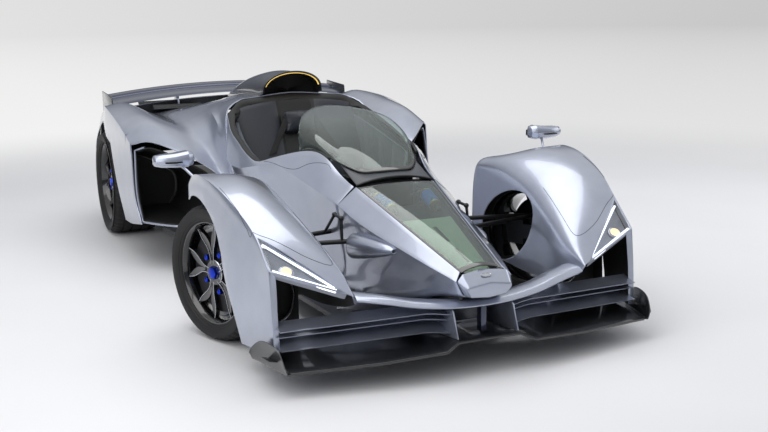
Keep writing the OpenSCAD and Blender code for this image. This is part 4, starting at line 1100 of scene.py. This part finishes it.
# A mirror's sections about that point: x, front and rear y, lower and upper z
MIRROR_RINGS = [(-103, 16, 34, -14, 16), (-92, -8, 42, -30, 36), (-66, -26, 48, -36, 42),
                (0, -34, 48, -34, 34), (66, -22, 48, -31, 30), (96, -6, 46, -26, 25),
                (103, 10, 40, -16, 16)]
for side_name, x in SIDES:
    rings = []
    for px, y0, y1, z0, z1 in MIRROR_RINGS:
        ring = [(y1, z1), (y0 + 24, z1), (y0 + 6, z1 - 12), (y0, (z0 + z1) / 2), (y0 + 8, z0 + 10),
                (y0 + 26, z0), (y1, z0)]
        rings.append(flip([MIRROR + Vector((px, y, z)) for y, z in ring], x))
    shell = new_object(f"mirror_shell_{side_name}", rings_mesh("mirror", rings), silver,
                       hides=left_only(x, "mirrors"), slot="silver_paint")
    round_off(shell, 1.6, 18, 2)
    bake(shell, 40)
    glass = [flip([MIRROR + Vector((px, 49.2, z)) for px in (-84, -40, 0, 40, 88)], x)
             for z in (-26, 0, 27)]
    sheet(f"mirror_glass_{side_name}", glass, 2, machined, out=(0, 1, 0), edge=0.5)
    slot_path = [MIRROR + Vector((px, -33.5 + abs(px) * 0.05, -6)) for px in (-30, 0, 30, 55)]
    tube(f"mirror_slot_{side_name}", flip(slot_path, x), [3, 4.5, 4.5, 3], black_moulding, 10)
    foot, head = Vector((978, 95, 768)), MIRROR + Vector((-30, 0, -25))
    stalk = flip((foot, foot.lerp(head, 0.3), foot.lerp(head, 0.7), head), x)
    tube(f"mirror_stalk_{side_name}", stalk, [9, 6.5, 6.5, 9], silver, 16, slot="silver_paint")


# Wheels, drawn about the axle with x outward
def place_wheel(name, pieces, finishes, spot, side, turn, **ride):
    """One object of a wheel's meshes, mirrored by side, steered by turn and set at its spot."""
    points, faces, marks = [], [], []
    for p, f, m in pieces:
        faces += [tuple(q + len(points) for q in face) for face in f]
        points += p
        marks += m
    mesh = mesh_of(name, points, faces, marks)
    mesh.transform(Matrix.Translation(spot) @ Matrix.Rotation(turn, 4, "Z")
                   @ Matrix.Diagonal((side, 1, 1, 1)))
    work = bmesh.new()
    work.from_mesh(mesh)
    bmesh.ops.recalc_face_normals(work, faces=work.faces)
    work.to_mesh(mesh)
    work.free()
    obj = new_object(name, mesh, finishes, **ride)
    soften(obj, 32)
    return obj


def tyre_pieces(r, w, bead):
    """A tyre of radius r and width w with grooves, shoulder blocks and plain walls."""
    half = [(bead, 0.42), (bead + 5, 0.448), (bead + 12, 0.455), (bead + 15, 0.472), (bead + 21, 0.476),
            (bead + 24, 0.484), (bead + 40, 0.497), (bead + 50, 0.5), (bead + 62, 0.496), (r - 26, 0.48),
            (r - 19, 0.468), (r - 18, 0.455), (r - 9, 0.425), (r - 5, 0.395), (r - 2, 0.35), (r - 1, 0.30),
            (r - 8, 0.293), (r - 8, 0.268), (r - 0.5, 0.26), (r, 0.12), (r - 8, 0.112), (r - 8, 0.086),
            (r, 0.078)]
    profile = [(a, o * w) for a, o in half] + [(a, -o * w) for a, o in reversed(half)]
    steps = 240
    points, faces, marks = turned(profile, steps)
    n = len(profile)
    for k in range(steps):
        for i, (a, o) in enumerate(profile):
            share = abs(o) / w
            if k % 5 < 2 and 0.34 < share < 0.47 and a > r - 20:
                p = points[k * n + i]
                reach = math.hypot(p.y, p.z)
                sink = (reach - 4.5 * MM) / reach
                points[k * n + i] = Vector((p.x, p.y * sink, p.z * sink))
    return [(points, faces, marks)]


BLACK, EDGE, BLUE, DISC, HAT = range(5)
# One arm of a petal spoke: share of the rim's radius, offset from the spoke's middle, half width
ARM = [(0.17, 7, 9), (0.30, 8, 9), (0.42, 12, 12), (0.52, 20, 17), (0.62, 32, 21), (0.72, 47, 19),
       (0.80, 60, 12), (0.87, 70, 6), (0.935, 76, 4)]
PETALS = 5


def rim_pieces(r, w):
    """A rim of radius r: barrel, hub, nut, petal spokes, caps, brake disc and its hat."""
    barrel = [(r - 0.6, -0.42), (r - 0.6, 0.415), (r - 2, 0.42), (r - 8, 0.42), (r - 11, 0.405),
              (r - 15, 0.38), (r - 20, 0.35), (r - 25, 0.26), (r - 26, 0.1), (r - 26, -0.2),
              (r - 20, -0.36), (r - 12, -0.42)]
    pieces = [turned([(a, o * w) for a, o in barrel], 120, [BLACK] * 12)]
    face = 0.30 * w
    hub = [(0, face - 20), (0, face + 15), (26, face + 15), (33, face + 11), (36, face + 12),
           (60, face + 11), (63, face + 7), (63, face - 18)]
    pieces.append(turned(hub, 60, [0, 0, 0, 0, 0, EDGE, 0, 0]))
    nut = [(1, face + 13), (1, face + 27), (20, face + 27), (30, face + 24), (34, face + 13)]
    pieces.append(turned(nut, 6, [BLUE] * 5))
    for a in range(2 * PETALS):
        angle = math.radians(360 / PETALS * (a // 2) + 4)
        hand = 1 if a % 2 else -1
        scale = r / 254
        rings = []
        for p in across_row([Vector((t * r, u * scale, h * scale)) for t, u, h in ARM], 4, ()):
            share = (p.x / r - 0.17) / 0.765
            bowl = 9 * math.sin(math.pi * min(1, share))
            dish = face + 13 - bowl + (0.36 * w - 3 - face - 13) * share ** 2
            h = p.z
            profile = [(h - 1, dish - 25), (h, dish - 3), (h - 0.5, dish), (max(h - 4, 0.5 * h), dish),
                       (max(h - 5, 0.4 * h), dish - 2), (0, dish - 4), (-h + 1, dish - 2), (-h, dish - 4),
                       (-h + 1, dish - 25)]
            rings.append([Vector((o, p.x * math.cos(angle) - hand * (p.y + u) * math.sin(angle),
                                  p.x * math.sin(angle) + hand * (p.y + u) * math.cos(angle))) * MM
                          for u, o in profile])
        n = len(rings[0])
        points = [q for ring in rings for q in ring]
        faces, marks = [], []
        for i in range(len(rings) - 1):
            for j in range(n):
                faces.append((i * n + j, i * n + (j + 1) % n, (i + 1) * n + (j + 1) % n, (i + 1) * n + j))
                marks.append(EDGE if j in (1, 2) else BLACK)
        faces += [tuple(range(n)), tuple(range((len(rings) - 1) * n, len(rings) * n))]
        pieces.append((points, faces, marks + [BLACK, BLACK]))
    for a in range(PETALS):
        angle = math.radians(360 / PETALS * a + 40)
        cap, faces, marks = turned([(1, 0), (1, 30), (9, 29), (14, 25), (15, 4), (15, 0)], 16, [BLUE] * 6)
        reach = Vector((face - 20, 0.38 * r * math.cos(angle), 0.38 * r * math.sin(angle))) * MM
        pieces.append(([p + reach for p in cap], faces, marks))
    disc = [(118, 33), (r - 55, 33), (r - 55, 42), (r - 66, 43), (r - 66, 47), (r - 55, 48), (r - 55, 57),
            (118, 57)]
    pieces.append(turned(disc, 96, [DISC] * 8))
    hat = [(60, 40), (112, 38), (119, 34), (119, 58), (104, 60), (60, 62)]
    pieces.append(turned(hat, 60, [HAT] * 6))
    return pieces


wheels = [("front_left", FRONT_X, 0, FRONT_R, 245, 1, STEER_REST),
          ("front_right", -FRONT_X, 0, FRONT_R, 245, -1, STEER_REST),
          ("rear_left", REAR_X, WHEELBASE, REAR_R, 335, 1, 0),
          ("rear_right", -REAR_X, WHEELBASE, REAR_R, 335, -1, 0)]
for which, wx, wy, radius, width, side_sign, turn in wheels:
    spot, body = at(wx, wy, radius), f"wheel_{which}"
    bead = radius - 82
    place_wheel(f"tyre_shell_{which}", tyre_pieces(radius, width, bead), tread_rubber, spot, side_sign,
                turn, body=body, hides=[f"tyre_{which}"], slot="tyre")
    place_wheel(f"petal_rim_{which}", rim_pieces(bead, width),
                [black_gloss, machined, blue_anodised, iron, black_satin], spot, side_sign, turn,
                body=body, hides=[f"rim_{which}"], slot="rim_alloy")


# Seats: leather cushions and backs, swelled by cloth pressure
VOXEL = 6
CLOTH_FRAMES = 20
MOST_SWELL = 10


def cushion(name, size, where, lean, crown):
    """A crowned closed pad, fuller in its middle, its sides drawn in between its corners."""
    work = block_mesh(size, 14)
    bmesh.ops.subdivide_edges(work, edges=work.edges[:], cuts=3, use_grid_fill=True)
    for v in work.verts:
        u, t, h = (2 * v.co[k] / (size[k] * MM) for k in range(3))
        swell = (1 - min(1, u * u)) * (1 - min(1, t * t))
        v.co.z += crown * MM * swell * (1 if h > 0 else 0.1)
        channel = math.cos(math.pi * u * 2.5) ** 8
        v.co.z -= 5 * MM * channel * (1 if h > 0 else 0) * (1 - min(1, t * t))
        v.co.x *= 1 - 0.03 * (1 - min(1, t * t))
        v.co.y *= 1 - 0.03 * (1 - min(1, u * u))
    mesh = bpy.data.meshes.new(name)
    work.to_mesh(mesh)
    work.free()
    mesh.transform(Matrix.Translation(at(*where)) @ Matrix.Rotation(math.radians(lean), 4, "X"))
    obj = bpy.data.objects.new(name, mesh)
    bpy.context.scene.collection.objects.link(obj)
    blocky = obj.modifiers.new("remesh", "REMESH")
    blocky.mode, blocky.voxel_size = "VOXEL", VOXEL * MM
    bake(obj, 60)
    before = [v.co.copy() for v in obj.data.vertices]
    cloth = obj.modifiers.new("cloth", "CLOTH")
    cloth.settings.use_pressure, cloth.settings.uniform_pressure_force = True, 4
    cloth.settings.effector_weights.gravity = 0
    cloth.point_cache.frame_start, cloth.point_cache.frame_end = 1, CLOTH_FRAMES
    for step in range(1, CLOTH_FRAMES + 1):
        bpy.context.scene.frame_set(step)
    bake(obj, 60)
    bpy.context.scene.frame_set(1)
    for v, start in zip(obj.data.vertices, before):
        moved = v.co - start
        v.co = start + moved * min(1, MOST_SWELL * MM / max(moved.length, 1e-9))
    smooth = obj.modifiers.new("smooth", "SUBSURF")
    smooth.levels = smooth.render_levels = 1
    bake(obj, 60)
    obj.data.materials.append(leather)
    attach(obj, CAR)
    return obj


for place_name, y in (("driver", 540), ("passenger", 1010)):
    base = cushion(f"seat_cushion_{place_name}", (325, 350, 70), (0, y + 190, SEAT_FLOOR + 42), 3, 8)
    cushion(f"seat_back_{place_name}", (335, 480, 55), (0, y + 445, SEAT_FLOOR + 290), 72, 6)
    if place_name == "driver":
        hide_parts("seats")
    for side_name, x in reversed(SIDES):
        strap = []
        for t in shares(12):
            strap.append([Vector((x * (62 + 10 * t + q), y + 405 + 155 * t, SEAT_FLOOR + 60 + 470 * t))
                          for q in (0, 25, 50)])
        sheet(f"belt_{place_name}_{side_name}", strap, 2, webbing, out=(0, -1, 0.3), edge=0.5)

# Trimmed bulkhead behind the seats: two padded panels beside a dark well, below a padded brow
bulkhead = []
for t in shares(16):
    row = []
    for u in range(-24, 25):
        q = u / 24
        pad = 34 * max(0, math.sin(math.pi * min(1, max(0, (abs(q) - 0.26) / 0.74)))) ** 0.5
        row.append(Vector((q * (405 + 25 * t), 1475 - 150 * (1 - t) - 60 * (1 - q * q) * (1 - t) - pad,
                           560 + 380 * t + 60 * t * (1 - abs(q) ** 3))))
    bulkhead.append(row)
sheet("cockpit_bulkhead", bulkhead, 6, [leather, black_moulding], out=(0, -1, 0), edge=2,
      marks=lambda i, j: int(17 <= j <= 30), slot="seat_leather")
brow = []
for t in (0, 0.15, 0.35, 0.6, 0.85, 1):
    half = [Vector((max(x - 14, 0), y - 12 - 34 * math.sin(math.pi * min(1, t * 0.8)), z - 14 - 66 * t))
            for y, x, z in HOOP_LINE]
    brow.append(across_row(whole_row(half), 4, ()))
sheet("hoop_brow", brow, 8, black_hide, out=(0, -1, 0), edge=3, slot="seat_leather")
for side_name, x in SIDES:
    run = [Vector((x * 60, 1388, 925)), Vector((x * 92, 1368, 880)), Vector((x * 130, 1345, 815)),
           Vector((x * 176, 1322, 742)), Vector((x * 205, 1300, 690))]
    strap = [[p + Vector((q, 0, 0.3 * q)) for q in (-24, -8, 8, 24)] for p in across_row(run, 5, ())]
    sheet(f"shoulder_belt_{side_name}", strap, 2, webbing, out=(0, -1, 0.2), edge=0.5)
cushion("head_pad", (190, 130, 62), (0, 1385, 868), 78, 10)
for side_name, x in SIDES:
    side_trim = []
    for i in range(13):
        y = 480 + 900 * i / 12
        edge = along(RIM_LINE, y)
        side_trim.append([Vector((x * (edge.x - 44 - 16 * t), y, edge.z - 22 - (edge.z - 440) * t))
                          for t in shares(4)])
    sheet(f"cockpit_side_trim_{side_name}", side_trim, 5, leather, out=(-x, 0, 0), edge=2,
          slot="seat_leather")

# Steering wheel on its column, and the dash hood with its screen
lean_back = Matrix.Translation(at(0, 330, 600)) @ Matrix.Rotation(math.radians(22 - 90), 4, "X")


def on_column(p):
    """A table point from one about the steering wheel's hub, z along the column."""
    return (lean_back @ (p * MM)) / MM + Vector((0, MIDDLE_Y, 0))


rim_points = []
for k in range(72):
    a = 2 * math.pi * k / 72
    flat_bottom = max(math.sin(a) * 150, -118)
    rim_points.append(Vector((math.cos(a) * 150, flat_bottom, 0)))
rings = tube_points(rim_points + rim_points[:2], 12, 14)
grip_rings = [[on_column(p) for p in ring] for ring in rings]
wheel_grip = new_object("steering_wheel_grip", rings_mesh("steering_wheel_grip", grip_rings), leather,
                        body="steering_wheel_body", hides=["steering_wheel"], slot="seat_leather")
soften(wheel_grip, 50)
for n, (size, spot) in enumerate([((120, 74, 22), (0, -4, 0)), ((112, 26, 12), (-92, 0, 0)),
                                  ((112, 26, 12), (92, 0, 0)), ((26, 84, 10), (0, -72, 0))]):
    work = block_mesh(size, 5)
    mesh = bpy.data.meshes.new("wheel_part")
    work.to_mesh(mesh)
    work.free()
    mesh.transform(lean_back @ Matrix.Translation(Vector(spot) * MM))
    part = new_object(f"steering_wheel_part_{n + 1}", mesh, satin_carbon if n else black_satin,
                      body="steering_wheel_body")
    soften(part, 40)
column_path = [on_column(Vector((0, 0, d))) for d in (-2, -100, -175)]
tube("steering_column", column_path, 19, black_satin, 20, body="steering_wheel_body")

dash_rows = []
for i in range(15):
    a = math.radians(-20 + 200 * i / 14)
    dash_rows.append([Vector((u * 184 / 10, 175 - 55 * math.cos(a) * (0.9 + 0.1 * math.cos(u / 3)),
                              640 + 74 * max(math.sin(a), -0.9) * (1 - 0.15 * (u / 10) ** 2)))
                      for u in range(-10, 11)])
sheet("dash_hood", dash_rows, 5, leather, out=(0, 0, 1), edge=2, slot="seat_leather")
screen_face = [[Vector((u * 15, 231, z)) for u in range(-5, 6)] for z in (622, 640, 658, 676)]
sheet("dash_screen", screen_face, 3, black_gloss, out=(0, 1, 0), edge=1)

# Finishes of the CAD nodes that stay as they are
for node_name, made in (("floor_pan", satin_carbon), ("jack_pads", black_satin), ("cockpit_tub", lining),
                        ("front_arms", black_satin), ("rear_arms", black_satin), ("dash", black_moulding),
                        ("knuckle_left", cast_alloy), ("knuckle_right", cast_alloy),
                        ("exhausts", heat_steel), ("engine_block", cast_alloy)):
    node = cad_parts[node_name]
    for k in range(len(node.material_slots)):
        node.material_slots[k].material = made
    if not node.material_slots:
        node.data.materials.append(made)


# Light, floor and camera

world = bpy.data.worlds.new("studio")
bpy.context.scene.world = world
world.use_nodes = True
sky = world.node_tree
background = sky.nodes["Background"]
background.inputs["Strength"].default_value = 0.8
direction = add(sky, "ShaderNodeTexCoord").outputs["Generated"]
height = add(sky, "ShaderNodeSeparateXYZ", links={"Vector": direction}).outputs["Z"]
studio = add(sky, "ShaderNodeValToRGB", {"stops": [(0.0, "#5f636e"), (0.22, "#8b8f99"), (0.5, "#e4e6ea"),
             (1.0, "#ffffff")]}, {"Fac": height})
sky.links.new(studio.outputs["Color"], background.inputs["Color"])
# The eye sees a pale backdrop above the floor's edge
backdrop = add(sky, "ShaderNodeBackground", {"Color": colour("#dcdcdc")})
eye_path = add(sky, "ShaderNodeLightPath")
sky_mix = add(sky, "ShaderNodeMixShader", links={0: eye_path.outputs["Is Camera Ray"],
              1: background.outputs["Background"], 2: backdrop.outputs["Background"]})
sky.links.new(sky_mix.outputs["Shader"], sky.nodes["World Output"].inputs["Surface"])


def lamp(name, size, power, where, target):
    """A softbox that faces its target."""
    light = bpy.data.lights.new(name, "AREA")
    light.shape, light.size, light.size_y, light.energy = "RECTANGLE", size[0], size[1], power
    obj = bpy.data.objects.new(name, light)
    bpy.context.scene.collection.objects.link(obj)
    obj.location = where
    obj.rotation_mode = "QUATERNION"
    obj.rotation_quaternion = (Vector(target) - Vector(where)).to_track_quat("-Z", "Y")


lamp("overhead_softbox", (3.2, 7.0), 130, (-0.6, -0.5, 4.2), (0, 0, 0.4))
lamp("front_right_softbox", (6.5, 3.2), 95, (-5.4, -4.0, 3.6), (-0.4, -0.6, 0.5))
lamp("left_softbox", (5.0, 2.4), 60, (5.8, -1.0, 3.0), (0.5, 0, 0.6))

floor_mesh = bpy.data.meshes.new("floor")
FAR = 2000
floor_mesh.from_pydata([(-FAR, -FAR, 0), (FAR, -FAR, 0), (FAR, FAR, 0), (-FAR, FAR, 0)], [], [(0, 1, 2, 3)])
floor = bpy.data.objects.new("floor", floor_mesh)
bpy.context.scene.collection.objects.link(floor)
pale_floor, floor_tree, floor_shader, floor_place = finish("pale_matt_studio_floor", "#e4e4e6",
                                                           Roughness=0.6)
scuffs = add(floor_tree, "ShaderNodeTexNoise", {"Scale": 0.4, "Detail": 3.0}, {"Vector": floor_place})
floor_tint = add(floor_tree, "ShaderNodeValToRGB", {"stops": [(0.3, "#e0e0e2"), (0.7, "#e8e8ea")]},
                 {"Fac": scuffs.outputs["Fac"]})
floor_tree.links.new(floor_tint.outputs["Color"], floor_shader.inputs["Base Color"])
# Away from the car the floor turns into a shadowless glowing sweep for the eye and in shine, with painted
# light falloff: paler near the car and lighter to the car's right
distance = add(floor_tree, "ShaderNodeVectorMath", {"operation": "LENGTH"},
               {0: floor_place}).outputs["Value"]
bearing = add(floor_tree, "ShaderNodeVectorMath", {"operation": "NORMALIZE"}, {0: floor_place})
across = add(floor_tree, "ShaderNodeSeparateXYZ", links={"Vector": bearing.outputs["Vector"]}).outputs["X"]
# Painted light falloff near the car: lighter to its right, darker to its left
near_tone = add(floor_tree, "ShaderNodeValToRGB", {"stops": [(0.0, "#f2f2f2"), (0.7, "#e3e3e3")]},
                {"Fac": across})
# Painted light falloff far off: darker than near the car, and darker still to the car's left
far_tone = add(floor_tree, "ShaderNodeValToRGB", {"stops": [(0.0, "#e4e4e4"), (0.7, "#c8c8c8")]},
               {"Fac": across})
recede = add(floor_tree, "ShaderNodeMapRange", {"From Min": 7.0, "From Max": 40.0}, {"Value": distance})
sweep = add(floor_tree, "ShaderNodeMix", {"data_type": "RGBA"}, {"Factor": recede.outputs["Result"]})
floor_tree.links.new(near_tone.outputs["Color"], sweep.inputs[6])
floor_tree.links.new(far_tone.outputs["Color"], sweep.inputs[7])
even = add(floor_tree, "ShaderNodeEmission", links={"Color": sweep.outputs[2]})
leave = add(floor_tree, "ShaderNodeMapRange",
            {"From Min": 3.6, "From Max": 8.0, "interpolation_type": "SMOOTHSTEP"}, {"Value": distance})
path_kind = add(floor_tree, "ShaderNodeLightPath")
seen = add(floor_tree, "ShaderNodeMath", {"operation": "MAXIMUM"},
           {0: path_kind.outputs["Is Camera Ray"], 1: path_kind.outputs["Is Glossy Ray"]})
share = add(floor_tree, "ShaderNodeMath", {"operation": "MULTIPLY"},
            {0: leave.outputs["Result"], 1: seen.outputs["Value"]})
floor_mix = add(floor_tree, "ShaderNodeMixShader", links={0: share.outputs["Value"],
                1: floor_shader.outputs["BSDF"], 2: even.outputs["Emission"]})
floor_tree.links.new(floor_mix.outputs["Shader"], floor_tree.nodes["Material Output"].inputs["Surface"])
floor_mesh.materials.append(pale_floor)

# The camera, solved from the photograph's wheels and mirrored edges
CAMERA_AZIMUTH, CAMERA_RISE, CAMERA_ROLL = (math.radians(a) for a in (-23.523, 11.559, -0.942))
FOCAL_PIXELS, PHOTO_WIDTH, SENSOR = 1121.07, 768, 36.0
camera_data = bpy.data.cameras.new("camera")
camera_data.sensor_width = SENSOR
camera_data.lens = FOCAL_PIXELS / PHOTO_WIDTH * SENSOR
camera = bpy.data.objects.new("camera", camera_data)
bpy.context.scene.collection.objects.link(camera)
bpy.context.scene.camera = camera
back = Vector((math.sin(CAMERA_AZIMUTH) * math.cos(CAMERA_RISE),
               -math.cos(CAMERA_AZIMUTH) * math.cos(CAMERA_RISE), math.sin(CAMERA_RISE)))
level = Vector((math.cos(CAMERA_AZIMUTH), math.sin(CAMERA_AZIMUTH), 0))
upright = back.cross(level)
right = math.cos(CAMERA_ROLL) * level + math.sin(CAMERA_ROLL) * upright
top = -math.sin(CAMERA_ROLL) * level + math.cos(CAMERA_ROLL) * upright
camera.matrix_world = Matrix.Translation(at(-2299.1, -5194.2, 1681.2)) @ Matrix(
    (right, top, back)).transposed().to_4x4()

bpy.context.scene.view_settings.view_transform = "Standard"
